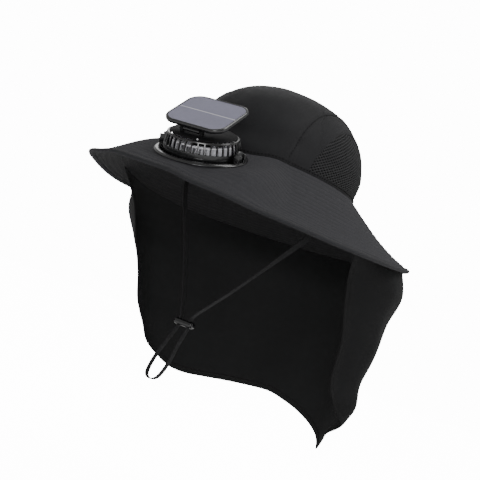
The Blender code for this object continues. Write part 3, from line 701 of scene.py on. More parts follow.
def cell_finish(color):
    """Silicon under clear resin: faint fingers across, one light busbar along the middle."""
    coat = {"Coat_Weight": 1.0, "Coat_Roughness": 0.08}
    # The base colour is lighter than the cell itself: a painted reflection of the resin's sheen on top of the
    # cell's own tint.
    material, shader = principled("cell_silicon", color, 0.32, Metallic=0.15, **coat)
    coords = node(material, "ShaderNodeTexCoord")
    split = node(material, "ShaderNodeSeparateXYZ")
    link(material, coords.outputs["UV"], split.inputs[0])
    bar = math_node(material, "LESS_THAN", math_node(material, "ABSOLUTE", split.outputs[1]), 0.00055)
    wave = math_node(material, "SINE", math_node(material, "MULTIPLY", split.outputs[0], math.tau / 0.0017))
    finger = math_node(material, "GREATER_THAN", wave, 0.90)
    specks = grain(material, coords, Scale=260.0, Detail=4.0, Roughness=0.7)
    cloud = grain(material, coords, Scale=32.0, Detail=2.0)
    shade = math_node(material, "MULTIPLY_ADD", specks, 0.26, 0.72)
    shade = math_node(material, "ADD", shade, math_node(material, "MULTIPLY", cloud, 0.30))
    lines = node(material, "ShaderNodeMix", data_type="RGBA")
    link(material, math_node(material, "MULTIPLY", finger, 0.10), lines.inputs["Factor"])
    link(material, tinted(material, color, shade), lines.inputs["A"])
    lines.inputs["B"].default_value = (0.45, 0.45, 0.50, 1)
    mixed = node(material, "ShaderNodeMix", data_type="RGBA")
    link(material, math_node(material, "MULTIPLY", bar, 0.80), mixed.inputs["Factor"])
    link(material, lines.outputs["Result"], mixed.inputs["A"])
    mixed.inputs["B"].default_value = (0.72, 0.71, 0.75, 1)
    link(material, mixed.outputs["Result"], shader.inputs["Base Color"])
    return material


# Woven finishes: colour or its setting, roughness, width of a thread, depth of the weave, unevenness.
WOVEN = {
    "brim_weave": ("brim_color", 0.82, 0.00042, 0.00016, 0.25),
    # The brim's downward faces: a darker copy of the brim cloth, painted shade under the brim.
    "lining_weave": ((0.028, 0.028, 0.0290), 0.82, 0.00042, 0.00016, 0.25),
    "crown_weave": ("crown_color", 0.66, 0.00032, 0.00009, 0.18),
    "flap_weave": ("flap_color", 0.80, 0.00036, 0.00010, 0.22),
    # The flap's inward faces: a lighter copy of the flap cloth, painted light on its inside.
    "flap_inside": ((0.0175, 0.0175, 0.0179), 0.80, 0.00036, 0.00010, 0.22),
    "net_strands": ((0.0290, 0.0290, 0.0300), 0.70, 0.00030, 0.00010, 0.25),
    "edge_weave": ((0.026, 0.026, 0.0285), 0.78, 0.00050, 0.00018, 0.25),
    "strap_weave": ((0.018, 0.018, 0.0187), 0.62, 0.00060, 0.00020, 0.25),
    "pale_thread": ((0.045, 0.045, 0.049), 0.60, 0.00020, 0.00005, 0.25),
    "dark_thread": ((0.016, 0.016, 0.017), 0.60, 0.00020, 0.00005, 0.25),
    # Near-black thread for the crown's foot and long seams: real stitches, darkened as painted shade in the
    # seams' grooves and at the crown's foot.
    "black_thread": ((0.003, 0.003, 0.0033), 0.70, 0.00020, 0.00005, 0.25),
}

# Moulded finishes: colour or its setting, roughness, clear coat, gloss.
MOULDED = {
    "gloss_black": ("plastic_color", 0.24, 0.6, 0.5),
    "satin_black": ((0.010, 0.010, 0.011), 0.40, 0.0, 0.5),
    "matt_black": ((0.008, 0.008, 0.0085), 0.60, 0.0, 0.12),
    "pale_rotor": ("blade_color", 0.30, 0.2, 0.5),
    "lamp_lens": ((0.42, 0.42, 0.43), 0.18, 1.0, 0.5),
}


def finish_for(key):
    """Gives a finish by its name, made once."""
    found = bpy.data.materials.get(key)
    if found:
        return found
    if key in WOVEN:
        color, *rest = WOVEN[key]
        if isinstance(color, str):
            color = tuple(getattr(bpy.context.scene.hat_cloth, color))
        return woven(key, color, *rest)
    color, *rest = MOULDED[key]
    if isinstance(color, str):
        color = tuple(getattr(bpy.context.scene.hat_fan, color))
    return moulded(key, color, *rest)


# Studio: how bright the backdrop looks, how much light the room gives, and where the floor is.
BACKDROP_GLOW = 14.0
ROOM_LIGHT = 0.420
FLOOR_HEIGHT = -0.36

# Lamps: name, place, width, watts.
LAMPS = (
    ("key", (1.4, 0.1, 1.5), 1.1, 15.0),
    ("top", (0.2, 0.0, 2.0), 1.0, 13.0),
    ("right", (1.8, 0.3, 0.35), 0.8, 1.5),
    ("low", (0.80, -1.75, -0.30), 0.8, 19.0),
    ("back", (-1.04, 1.18, 1.11), 1.0, 3.6),
)

# The photograph's camera: place, turn about Z, rise above level, roll and lens in mm.
CAMERA_PLACE = (0.54669, -1.07361, -0.17010)
CAMERA_AZIMUTH = math.radians(27.204)
CAMERA_ELEVATION = math.radians(-4.519)
CAMERA_ROLL = math.radians(20.524)
CAMERA_LENS = 89.54

# Places of the fan's parts.
SEAT = Matrix.Translation((0, -FAN_FORWARD, -FAN_SEAT_DEPTH)) @ Matrix.Rotation(FAN_LEAN, 4, "X")
TILT = SEAT @ Matrix.Translation((0, 0, TRUNNION_HEIGHT))
MOTOR_LOW = HOUSING_TOP + GAP - TRUNNION_HEIGHT - MOTOR_LENGTH
SPIN = TILT @ Matrix.Translation((0, 0, MOTOR_LOW - 2 * GAP - 0.0070))
HINGE = (
    TILT
    @ Matrix.Translation((0, -HINGE_FORWARD, HINGE_RISE - TRUNNION_HEIGHT))
    @ Matrix.Rotation(PANEL_TILT, 4, "X")
)
PANEL_MIDDLE = SOLAR_LENGTH / 2 - PANEL_OVERHANG
LYING = Matrix.Rotation(math.pi / 2, 4, "Y")


class HAT_OT_stage(bpy.types.Operator):
    """Makes the floor, the lights and the camera"""

    bl_idname = "hat.stage"
    bl_label = "Stage"

    def execute(self, context):
        bm = bmesh.new()
        low = Matrix.Translation((0, 0, FLOOR_HEIGHT))
        bmesh.ops.create_grid(bm, x_segments=4, y_segments=4, size=40, matrix=low)
        mesh = bpy.data.meshes.new("floor")
        bm.to_mesh(mesh)
        bm.free()
        floor = bpy.data.objects.new("floor", mesh)
        context.scene.collection.objects.link(floor)
        pale, shader = principled("floor_paint", (0.95, 0.95, 0.95), 0.9)
        shader.inputs["Specular IOR Level"].default_value = 0.1
        shader.inputs["Emission Color"].default_value = (1, 1, 1, 1)
        seen = node(pale, "ShaderNodeLightPath")
        glow = math_node(pale, "MULTIPLY", seen.outputs["Is Camera Ray"], BACKDROP_GLOW)
        link(pale, glow, shader.inputs["Emission Strength"])
        mesh.materials.append(pale)

        world = bpy.data.worlds.new("studio")
        world.use_nodes = True
        background = world.node_tree.nodes["Background"]
        background.inputs["Color"].default_value = (1, 1, 1, 1)
        seen = node(world, "ShaderNodeLightPath")
        extra = BACKDROP_GLOW - ROOM_LIGHT
        strength = math_node(world, "MULTIPLY_ADD", seen.outputs["Is Camera Ray"], extra, ROOM_LIGHT)
        link(world, strength, background.inputs["Strength"])
        context.scene.world = world

        for name, place, size, watts in LAMPS:
            data = bpy.data.lights.new(name, "AREA")
            data.size = size
            data.energy = watts
            lamp = bpy.data.objects.new(name, data)
            lamp.location = place
            lamp.rotation_euler = Vector(place).to_track_quat("Z", "Y").to_euler()
            context.scene.collection.objects.link(lamp)

        data = bpy.data.cameras.new("camera")
        data.lens = CAMERA_LENS
        data.sensor_width = 36
        camera = bpy.data.objects.new("camera", data)
        facing = Euler((math.pi / 2 - CAMERA_ELEVATION, 0, CAMERA_AZIMUTH)).to_matrix()
        camera.rotation_euler = (facing @ Matrix.Rotation(CAMERA_ROLL, 3, "Z")).to_euler()
        camera.location = CAMERA_PLACE
        context.scene.collection.objects.link(camera)
        context.scene.camera = camera
        return {"FINISHED"}


# Slider: size, the slots' size, and how far the grooves of its ends lie from its middle.
SLIDER_SIZE = (0.0210, 0.0092, 0.0065)
SLOT_SIZE = (0.0026, 0.0072, 0.0200)
GROOVE_SIZE = (0.0007, 0.0200, 0.0200)
GROOVE_OUT = 0.0094

# Where the strap is sewn under the brim: heading, and share of the way out.
STRAP_END = (88.0, 0.05)

# Hanging loop: width in slot spacings, share of the loop's drop.
STRAP_LOOP_SHAPE = ((1.2, 0.36), (1.5, 0.68), (1.15, 0.93))


def strap_line():
    """The chin strap's middle line, from the brim on the left down to the loop and up again."""
    top = brim_point(*STRAP_END, BRIM_WALL + 3 * GAP)
    half = SLOT_SPACING / 2
    half_slider = SLIDER_SIZE[2] / 2
    left = [tuple(top)] + list(STRAP_ROUTE)
    left.append((half * 1.5, -SLIDER_FORWARD + 0.0015, -SLIDER_DROP + 0.0120))
    left.append((half, -SLIDER_FORWARD, -SLIDER_DROP + half_slider))
    left.append((half, -SLIDER_FORWARD, -SLIDER_DROP - half_slider))
    for wide, down in STRAP_LOOP_SHAPE:
        forward = SLIDER_FORWARD + LOOP_SWING * down
        left.append((half * wide, -forward, -SLIDER_DROP - STRAP_LOOP * down))
    bottom = [(0.0, -SLIDER_FORWARD - LOOP_SWING, -SLIDER_DROP - STRAP_LOOP)]
    right = [(-x, y, z) for x, y, z in reversed(left)]
    return even(spline(left + bottom + right, 10), 260)


class HAT_OT_chin_strap(bpy.types.Operator):
    """Makes the chin strap, whose ends reach under the brim, and its slider"""

    bl_idname = "hat.chin_strap"
    bl_label = "Chin strap"

    def execute(self, context):
        cloth = context.scene.hat_cloth
        line = strap_line()
        last = len(line) - 1
        total = length_of(line)
        slot_at = min(range(last // 2), key=lambda n: abs(line[n].z + SLIDER_DROP))
        # Half the tape's section: shares of its half width and half thickness.
        section = [(-1.0, -0.55), (-0.97, -1), (-0.5, -1.06), (0, -1), (0.5, -1.06), (0.97, -1), (1.0, -0.55)]
        section += [(-a, -b) for a, b in section]
        ends = len(section)

        def place(u, v):
            """The tape's section, turned a little where each half leaves the brim."""
            n = min(last, round(u * last))
            at = line[n]
            ahead = (line[min(n + 1, last)] - line[max(n - 1, 0)]).normalized()
            wide = Vector((0, 1, 0))
            wide = (wide - ahead * wide.dot(ahead)).normalized()
            twist = 0.0
            if n < slot_at:
                part = n / slot_at
                twist = 0.55 * (1 - smoothstep((part - 0.30) / 0.30))
            if n > last - slot_at:
                part = (last - n) / slot_at
                twist = -0.30 * (1 - smoothstep((part - 0.25) / 0.35))
            wide = Matrix.Rotation(twist, 3, ahead) @ wide
            thin = ahead.cross(wide)
            a, b = section[round(v * ends) % ends]
            return at + wide * a * cloth.tape_width / 2 + thin * b * cloth.tape_thickness / 2

        bm = cloth_grid(last, ends, place, (total, 0.016), wrap=True)
        bmesh.ops.holes_fill(bm, edges=[e for e in bm.edges if e.is_boundary], sides=0)
        bmesh.ops.recalc_face_normals(bm, faces=bm.faces)
        strap = new_piece("chin_tape", bm, finish_for("strap_weave"))
        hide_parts("chin_strap")

        bm = bmesh.new()
        centre = Matrix.Translation((0, -SLIDER_FORWARD, -SLIDER_DROP))
        add_box(bm, SLIDER_SIZE, centre, 0.0026, 4)
        gloss = finish_for("gloss_black")
        slider = new_piece("slider_body", bm, gloss, smooth_angle=180)
        cutter_bm = bmesh.new()
        for side in (-1, 1):
            slot = centre @ Matrix.Translation((side * SLOT_SPACING / 2, 0, 0))
            add_box(cutter_bm, SLOT_SIZE, slot, 0.0006, 2)
            groove = centre @ Matrix.Translation((side * GROOVE_OUT, 0, 0))
            add_box(cutter_bm, GROOVE_SIZE, groove)
        cut(slider, cutter_bm)
        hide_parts("strap_slider")

        return {"FINISHED"}


def cut(piece, cutter_bm):
    """Takes a helper shape out of a piece for good."""
    mesh = bpy.data.meshes.new("cutter")
    cutter_bm.to_mesh(mesh)
    cutter_bm.free()
    cutter = bpy.data.objects.new("cutter", mesh)
    bpy.context.scene.collection.objects.link(cutter)
    step = piece.modifiers.new("cut", "BOOLEAN")
    step.operation = "DIFFERENCE"
    step.solver = "EXACT"
    step.object = cutter
    bpy.context.view_layer.update()
    shaped = piece.evaluated_get(bpy.context.evaluated_depsgraph_get())
    done = bpy.data.meshes.new_from_object(shaped)
    piece.modifiers.clear()
    piece.data = done
    done.shade_smooth()
    done.set_sharp_from_angle(angle=math.radians(40))
    bpy.data.objects.remove(cutter)


def net_high(heading):
    """Upper edge of a net at a heading, as a share of the crown's height: half an oval."""
    net = bpy.context.scene.hat_net
    away = min(heading, 360 - heading) - math.degrees(net.middle)
    reach = away / math.degrees(net.back if away > 0 else net.front)
    if abs(reach) >= 1:
        return net.low
    return net.low + (net.high - net.low) * math.sqrt(1 - reach**2)


class HAT_OT_crown(bpy.types.Operator):
    """Makes the crown with its seams and the windows for the nets"""

    bl_idname = "hat.crown"
    bl_label = "Crown"

    def execute(self, context):
        cloth = context.scene.hat_cloth
        net = context.scene.hat_net
        columns = 240
        low_rows = 3
        window_rows = 30
        top_rows = 63
        rows = low_rows + window_rows + top_rows
        low = travel_at(net.low)

        def travel(heading, j):
            """Way up the cloth of a row of points. The middle rows fill the windows."""
            high = travel_at(net_high(heading))
            if j <= low_rows:
                return low * j / low_rows
            if j <= low_rows + window_rows:
                return low + (high - low) * (j - low_rows) / window_rows
            return high + (1 - high) * (j - low_rows - window_rows) / top_rows

        def seam_rise(p, heading, t):
            """How far the cloth stands out beside the two long seams and above the windows."""
            away = abs(abs(p.x) - SEAM_LANE)
            ridge = 0.0007 * math.exp(-(((away - 0.0022) / 0.0016) ** 2))
            ridge -= 0.0008 * math.exp(-((away / 0.0006) ** 2))
            high = net_high(heading)
            share = along(CROWN_LINE, t).y
            rim = 0.0
            if high > net.low + 0.01:
                gap = (share - high) * CROWN_HEIGHT
                rim = 0.0006 * math.exp(-((gap - 0.0022) / 0.0016) ** 2)
                ridge *= smoothstep((share - high) / 0.05)
            return ridge + rim

        def place(u, v):
            heading = 360 * u
            j = round(v * rows)
            t = travel(heading, j)
            p = crown_at(heading, t)
            p.z -= 0.0010 * (1 - smoothstep(t / 0.02))
            return p + crown_outward(p) * (seam_rise(p, heading, t) + crown_puff(p) - 0.0003)

        around = math.pi * (CROWN_WIDTH + CROWN_LENGTH) / 2
        bm = cloth_grid(columns, rows, place, (around, CROWN_CLOTH_TALL), wrap=True)
        uv = bm.loops.layers.uv["cloth"]
        window = []
        for face in bm.faces:
            middle = sum((loop[uv].uv for loop in face.loops), Vector((0, 0))) / len(face.loops)
            heading = 360 * middle.x / around
            row = middle.y / CROWN_CLOTH_TALL * rows
            if net_high(heading) > net.low and low_rows < row < low_rows + window_rows:
                window.append(face)
        bmesh.ops.delete(bm, geom=window, context="FACES")
        thicken(bm, cloth.crown_wall)
        weave = finish_for("crown_weave")
        crown = new_piece("crown_cloth_shell", bm, weave, smooth_angle=75)
        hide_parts("crown")
        return {"FINISHED"}


class HAT_OT_net(bpy.types.Operator):
    """Makes the two nets in the crown's windows, with real holes"""

    bl_idname = "hat.net"
    bl_label = "Nets"

    def execute(self, context):
        net = context.scene.hat_net
        span = math.degrees(net.front + net.back) + 3.0
        around = math.pi * (CROWN_WIDTH + CROWN_LENGTH) / 2 * span / 360
        low = travel_at(max(0.0, net.low - 0.02))
        high = travel_at(net.high + 0.03)
        up = (high - low) * CROWN_CLOTH_TALL
        columns = round(around / net.pitch)
        rows = round(up / net.pitch * 1.4)
        for side, replaced in ((1, "net_left"), (-1, "net_right")):
            start = math.degrees(net.middle - net.front) - 1.5

            def heading_at(share):
                return side * (start + span * share)

            bm = bmesh.new()
            uv = bm.loops.layers.uv.new("cloth")
            # A grid of squares, each poked into four; dissolving the squares' sides leaves diamonds.
            half = Matrix.Translation((0.5, 0.5, 0))
            bmesh.ops.create_grid(bm, x_segments=columns, y_segments=rows, size=0.5, matrix=half)
            straight = [e for e in bm.edges if not e.is_boundary]
            bmesh.ops.poke(bm, faces=bm.faces[:])
            straight = [e for e in straight if e.is_valid]
            bmesh.ops.dissolve_edges(bm, edges=straight, use_verts=False)
            doomed = []
            for face in bm.faces:
                c = face.calc_center_median()
                share = along(CROWN_LINE, low + (high - low) * c.y).y
                if share > net_high(heading_at(c.x) % 360) + 0.040 or len(face.verts) < 4:
                    doomed.append(face)
            bmesh.ops.delete(bm, geom=doomed, context="FACES")
            map_flat(bm, uv, around, up)
            for vert in bm.verts:
                vert.co = crown_at(heading_at(vert.co.x) % 360, low + (high - low) * vert.co.y, 0.0007)
            bmesh.ops.recalc_face_normals(bm, faces=bm.faces)
            holes = bm.faces[:]
            bmesh.ops.inset_individual(
                bm, faces=holes, thickness=net.strand / 2, depth=0.0, use_even_offset=True
            )
            bmesh.ops.delete(bm, geom=holes, context="FACES")
            thicken(bm, 0.0005)
            strands = finish_for("net_strands")
            piece = new_piece(f"{replaced}_cloth", bm, strands, smooth_angle=60)
            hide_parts(replaced)
        return {"FINISHED"}


def brim_skin(heading, out):
    """A point of the sewn brim, sunk along its stitched rows."""
    cloth = bpy.context.scene.hat_cloth
    p = brim_point(heading, out)
    x0, y0 = brim_plan(heading, 0.0)
    x1, y1 = brim_plan(heading, 1.0)
    wide = math.hypot(x1 - x0, y1 - y0) * BRIM_SLANT
    row = out * wide / cloth.row_spacing
    phase = abs(row - round(row)) * 2
    groove = math.exp(-((phase / 0.26) ** 2))
    quilt = 0.00055 * groove + 0.0007 * math.exp(-(((out - 0.935) / 0.010) ** 2))
    pucker = noise.noise(Vector((heading * 0.9, row * 1.3, 0))) * 0.00022
    slow = noise.noise(p * 16.0) * 0.0004 * smoothstep((out - 0.25) / 0.5)
    calm = smoothstep((away_from_fan(p.x, p.y) - FLANGE_RADIUS * 1.02) / 0.010)
    p.z += (-quilt + pucker) * (0.35 + 0.65 * calm) + slow * calm
    return p


class HAT_OT_brim(bpy.types.Operator):
    """Makes the brim with its stitched rows, and the tape round its edge"""

    bl_idname = "hat.brim"
    bl_label = "Brim"

    def execute(self, context):
        columns = 300
        rows = 118
        around = math.pi * (BRIM_WIDTH + BRIM_LENGTH) / 2

        def place(u, v):
            return brim_skin(360 * u, v * (1 + BRIM_TUCK) - BRIM_TUCK)

        bm = cloth_grid(columns, rows, place, (around * 0.75, BRIM_CLOTH_WIDE), wrap=True)
        under_fan = []
        for face in bm.faces:
            c = face.calc_center_median()
            if away_from_fan(c.x, c.y) < FLANGE_RADIUS - 0.0022:
                under_fan.append(face)
        bmesh.ops.delete(bm, geom=under_fan, context="FACES")
        for vert in bm.verts:
            away = away_from_fan(vert.co.x, vert.co.y)
            if away < FLANGE_RADIUS + 0.004 and any(e.is_boundary for e in vert.link_edges):
                reach = (FLANGE_RADIUS - 0.0025) / away
                y = (vert.co.y + FAN_FORWARD) * reach - FAN_FORWARD
                vert.co = Vector((vert.co.x * reach, y, seat_height(y)))
        thicken(bm, BRIM_WALL - 0.0003)
        # Downward faces take the darker copy of the brim cloth: painted shade under the brim.
        for face in bm.faces:
            if face.normal.z < 0:
                face.material_index = 1
        brim = new_piece("brim_sewn", bm, finish_for("brim_weave"), smooth_angle=75)
        brim.data.materials.append(finish_for("lining_weave"))
        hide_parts("brim")

        def squared(c):
            return math.copysign(abs(c) ** 0.75, c)

        turns = [math.tau * n / 14 for n in range(14)]
        section = [(squared(math.cos(turn)), squared(math.sin(turn))) for turn in turns]
        ends = len(section)

        def wrap_tape(u, v):
            heading = 360 * u
            edge = brim_point(heading, 1.0)
            outward = (edge - brim_point(heading, 0.93)).normalized()
            up = Vector((0, 0, 1))
            up = (up - outward * up.dot(outward)).normalized()
            a, b = section[round(v * ends) % ends]
            seam = 0.0002 * math.exp(-(((a + 0.45) / 0.15) ** 2))
            swell = 1 + 0.05 * noise.noise(Vector((heading * 0.6, 0, 4)))
            slow = noise.noise(edge * 16.0) * 0.0004
            centre = edge - up * (BRIM_WALL / 2) + Vector((0, 0, slow))
            return centre + outward * (a * TAPE_REACH) + up * b * (TAPE_HALF * swell - seam)

        bm = cloth_grid(400, ends, wrap_tape, (around, 0.014), wrap=True)
        bmesh.ops.recalc_face_normals(bm, faces=bm.faces)
        tape = new_piece("brim_edge_tape", bm, finish_for("edge_weave"))
        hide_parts("brim_binding")
        return {"FINISHED"}


# Usual fall of the flap's cloth, and its way round at the middle.
FLAP_DEEP = 0.19
FLAP_ROUND = 0.56


def flap_heading(share):
    return FLAP_START + (360 - 2 * FLAP_START) * share


def flap_top(share):
    """Where the flap meets the underside of the brim."""
    back = math.sin(math.pi * share)
    seam = FLAP_SEAM_FRONT + (FLAP_SEAM_BACK - FLAP_SEAM_FRONT) * smoothstep(back * 1.3)
    return brim_point(flap_heading(share), seam, BRIM_WALL + GAP)


def level_line(level):
    """The flap in plan at one of its levels, from its left front edge round the back."""
    _, ex, ey, sx, sy, qx, qy, bx, by, back_y = level
    side = [(ex, ey), (sx, sy), (qx, qy), (bx, by), (0.0, back_y)]
    ring = side + [(-x, y) for x, y in reversed(side[:-1])]
    return spline([(x * BRIM_WIDTH / 2, y * BRIM_LENGTH / 2, 0) for x, y in ring], 16)


LEVEL_LINES = [level_line(level) for level in FLAP_LEVELS]


def flap_point(share, fall):
    """A point of the flap's middle surface. Fall is 0 at the brim and 1 at the hem."""
    top = flap_top(share)
    hem = -FLAP_FALL * table_value(FLAP_HEM, share)
    z = top.z + (hem - top.z) * fall
    depth = max(0.0, min(1.0, -z / FLAP_FALL))
    plans = [Vector((top.x, top.y, 0))] + [along(line, share) for line in LEVEL_LINES]
    depths = [-top.z / FLAP_FALL] + [row[0] for row in FLAP_LEVELS]
    if depths[1] <= depths[0] + 0.02:
        del plans[1]
        del depths[1]
    x = table_value([(d, p.x) for d, p in zip(depths, plans)], depth)
    y = table_value([(d, p.y) for d, p in zip(depths, plans)], depth)
    fold = 0.0
    for where, half, deep in FLAP_FOLDS:
        fold += deep * math.exp(-(((share - where) / half) ** 2))
    fold *= BRIM_WIDTH / 2 * smoothstep(fall * 1.15)
    outward = (Vector((x, y, 0)) - Vector((0, 0.25 * BRIM_LENGTH / 2, 0))).normalized()
    return Vector((x, y, z)) + outward * fold


def flap_skin(share, fall):
    """A point of the hanging cloth with its soft waves, and the way outwards there."""
    p = flap_point(share, fall)
    near = flap_point(min(1.0, share + 0.004), fall) - flap_point(max(0.0, share - 0.004), fall)
    outward = Vector((near.y, -near.x, 0)).normalized()
    wave = noise.noise(Vector((share * 9.0, fall * 0.8, 2.0))) * 0.0014
    wave += noise.noise(Vector((share * 26.0, fall * 1.2, 5.0))) * 0.0008
    wave += noise.noise(p * 45.0) * 0.0004
    return p + outward * wave * smoothstep(fall * 2.2), outward


def sewn_row(whole, line, radius, keep=lambda p: True):
    """Sews the stretches of a line that keep allows, and adds them to a bmesh."""
    cloth = bpy.context.scene.hat_cloth
    runs = [[]]
    for p in line:
        if keep(p):
            runs[-1].append(p)
        else:
            runs.append([])
    bm = bmesh.new()
    for run in runs:
        if len(run) > 3:
            stitch_line(bm, run, cloth.stitch_length, radius)
    join_into(whole, bm)


class HAT_OT_stitching(bpy.types.Operator):
    """Sews the brim's rows and edge, the crown's foot and long seams, and the flap's hem"""

    bl_idname = "hat.stitching"
    bl_label = "Stitching"

    def execute(self, context):
        cloth = context.scene.hat_cloth
        lift = Vector((0, 0, 0.00004))

        def clear_of_fan(p):
            return away_from_fan(p.x, p.y) > FLANGE_RADIUS + 0.001

        whole = bmesh.new()
        shortest = BRIM_WIDTH / 2 - CROWN_WIDTH / 2
        row = 1
        while row * cloth.row_spacing / (shortest * BRIM_SLANT) < 0.975:
            line = []
            for heading in range(361):
                x0, y0 = brim_plan(heading, 0.0)
                x1, y1 = brim_plan(heading, 1.0)
                out = row * cloth.row_spacing / (math.hypot(x1 - x0, y1 - y0) * BRIM_SLANT)
                line.append(brim_skin(heading, out) + lift)
            sewn_row(whole, line, cloth.stitch_radius, clear_of_fan)
            row += 1
        for out in (0.935, 0.972):
            line = [brim_skin(heading, out) + lift * 3 for heading in range(361)]
            sewn_row(whole, line, cloth.stitch_radius, clear_of_fan)
        thread = finish_for("pale_thread")
        new_piece("brim_stitches", whole, thread, smooth_angle=180)

        def on_crown(heading, travel):
            p = crown_at(heading, travel)
            return p + crown_outward(p) * crown_puff(p)

        whole = bmesh.new()
        foot = [on_crown(heading, 0.014) for heading in range(361)]
        sewn_row(whole, foot, cloth.stitch_radius * 2.5)
        for side in (-1, 1):
            for front in (True, False):
                line = []
                for n in range(161):
                    travel = 0.03 + 0.70 * n / 160
                    at = along(CROWN_LINE, travel)
                    share = SEAM_LANE / (CROWN_WIDTH / 2 * at.x)
                    if share >= 1:
                        break
                    heading = math.degrees(math.asin(share))
                    heading = side * (heading if front else 180 - heading) % 360
                    if at.y > net_high(heading) + 0.03:
                        line.append(on_crown(heading, travel))
                sewn_row(whole, line, cloth.stitch_radius * 1.6)
        # The crown's rows are real stitches in near-black thread, which also paints the shade of the seams'
        # grooves and of the crown's foot.
        thread = finish_for("black_thread")
        new_piece("crown_stitches", whole, thread, smooth_angle=180)

        whole = bmesh.new()
        fall = 1 - (cloth.hem_width - 0.0010) / FLAP_DEEP
        middle = cloth.flap_wall / 2
        rows = [[(0.012 + 0.976 * n / 400, fall) for n in range(401)]]
        rows += [[(share, 0.06 + (fall - 0.06) * n / 80) for n in range(81)] for share in (0.010, 0.990)]
        for row in rows:
            line = []
            for spot in row:
                p, outward = flap_skin(*spot)
                line.append(p - outward * middle)
            sewn_row(whole, line, cloth.flap_wall * 0.72)
        thread = finish_for("dark_thread")
        new_piece("hem_stitches", whole, thread, smooth_angle=180)
        return {"FINISHED"}


class HAT_OT_neck_flap(bpy.types.Operator):
    """Makes the neck flap with its folds and its turned hem"""

    bl_idname = "hat.neck_flap"
    bl_label = "Neck flap"

    def execute(self, context):
        cloth = context.scene.hat_cloth
        columns = 230
        rows = 116
        hem = cloth.hem_width

        def bunched(share, reach, count, many, both):
            """Shares with many steps on the last stretch of cloth, at one end or at both."""
            if share * count <= many:
                return reach * share * count / many
            if both and (1 - share) * count <= many:
                return 1 - reach * (1 - share) * count / many
            rest = 1 - reach * (2 if both else 1)
            steps = count - many * (2 if both else 1)
            return reach + rest * (share * count - many) / steps

        def turned_edge(distance):
            """How far the doubled cloth stands out beside an edge, and sinks at its seam."""
            swell = 0.00045 * smoothstep(distance / 0.0006) * (1 - smoothstep((distance - hem) / 0.0008))
            return swell - 0.00035 * math.exp(-(((distance - hem + 0.0010) / 0.0005) ** 2))

        def place(u, v):
            v = bunched(v, 0.055, rows, 16, False)
            u = bunched(u, 0.020, columns, 12, True)
            fall = 1 - v
            p, outward = flap_skin(u, fall)
            from_hem = v * FLAP_DEEP
            from_side = min(u, 1 - u) * FLAP_ROUND
            edge = turned_edge(min(from_hem, from_side))
            return p + outward * edge * smoothstep(fall * 12)

        bm = cloth_grid(columns, rows, place, (FLAP_ROUND, FLAP_CLOTH_TALL))
        thicken(bm, cloth.flap_wall)
        bm.normal_update()
        # Faces turned in towards the head take the lighter copy of the flap cloth: painted light on the
        # flap's inside.
        for face in bm.faces:
            c = face.calc_center_median()
            if face.normal.dot(Vector((c.x, c.y - BRIM_LENGTH / 8, 0))) < 0:
                face.material_index = 1
        flap = new_piece("neck_cloth", bm, finish_for("flap_weave"), smooth_angle=75)
        flap.data.materials.append(finish_for("flap_inside"))
        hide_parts("neck_flap")
        return {"FINISHED"}


# Ears of the flange: top, wall and width.
EAR_TOP = 0.0125
EAR_WALL = 0.0036
EAR_WIDTH = 0.0074


class HAT_OT_fan_base(bpy.types.Operator):
    """Makes the flange with its ears, and the ring under the brim"""

    bl_idname = "hat.fan_base"
    bl_label = "Fan base"

    def execute(self, context):
        inside = SLEEVE_RADIUS - SLEEVE_WALL
        outline = [
            (inside, -SLEEVE_REACH),
            (SLEEVE_RADIUS, -SLEEVE_REACH),
            (SLEEVE_RADIUS, GAP),
            (FLANGE_RADIUS, GAP),
            (FLANGE_RADIUS, GAP + 0.0008),
            (FLANGE_RADIUS - 0.0016, GAP + FLANGE_HEIGHT),
            (inside + 0.0012, GAP + FLANGE_HEIGHT),
            (inside, GAP + FLANGE_HEIGHT - 0.0008),
        ]
        bm = turned(soften(outline, 0.0007), 160, SEAT)
        low = GAP + FLANGE_HEIGHT * 0.5
        tall = EAR_TOP - low
        for side in (-1, 1):
            middle = side * (inside + EAR_WALL / 2 + GAP)
            ear = SEAT @ Matrix.Translation((middle, 0, low + tall / 2))
            add_box(bm, (EAR_WALL, EAR_WIDTH, tall), ear, 0.0010, 3)
            for cheek in (-1, 1):
                place = ear @ Matrix.Translation((side * 0.0010, cheek * 0.0052, -0.0010))
                add_box(bm, (0.0056, 0.0018, tall - 0.0020), place, 0.0005, 2)
            turn = SEAT @ Matrix.Translation((middle + side * 0.0016, 0, TRUNNION_HEIGHT)) @ LYING
            add_rod(bm, 0.0027, 0.0022, turn, 28, 0.0004)
        base = new_piece("fan_flange", bm, finish_for("gloss_black"), smooth_angle=35)
        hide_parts("fan_base")

        top = -BRIM_WALL * math.cos(FAN_LEAN) - GAP
        outline = [
            (SLEEVE_RADIUS + GAP, top - CLAMP_HEIGHT),
            (FLANGE_RADIUS, top - CLAMP_HEIGHT),
            (FLANGE_RADIUS, top),
            (SLEEVE_RADIUS + GAP, top),
        ]
        bm = turned(soften(outline, 0.0006), 160, SEAT)
        for n in range(12):
            turn = SEAT @ Matrix.Rotation(math.tau * n / 12, 4, "Z")
            place = turn @ Matrix.Translation((FLANGE_RADIUS - 0.0002, 0, top - CLAMP_HEIGHT / 2))
            add_box(bm, (0.0012, 0.0050, CLAMP_HEIGHT * 0.8), place, 0.0004, 2)
        ring = new_piece("fan_nut_ring", bm, finish_for("satin_black"), smooth_angle=35)
        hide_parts("fan_clamp_ring")
        return {"FINISHED"}


# Grille: its wall, the bowl's upper edge, the ribs' ends, the intake, the disc in it, and the pins.
HOUSING_WALL = 0.0018
BOWL_TOP = 0.0082
RIB_FOOT = 0.0078
RIB_HEAD = 0.0180
INTAKE_RADIUS = 0.0255
DISC_RADIUS = 0.0100
PIN_RADIUS = 0.0019
BLADE_WALL = 0.0008


def ball_radius(height):
    """Radius of the ball that the grille follows, about the trunnions."""
    return math.sqrt(HOUSING_RADIUS**2 - (height - TRUNNION_HEIGHT) ** 2)


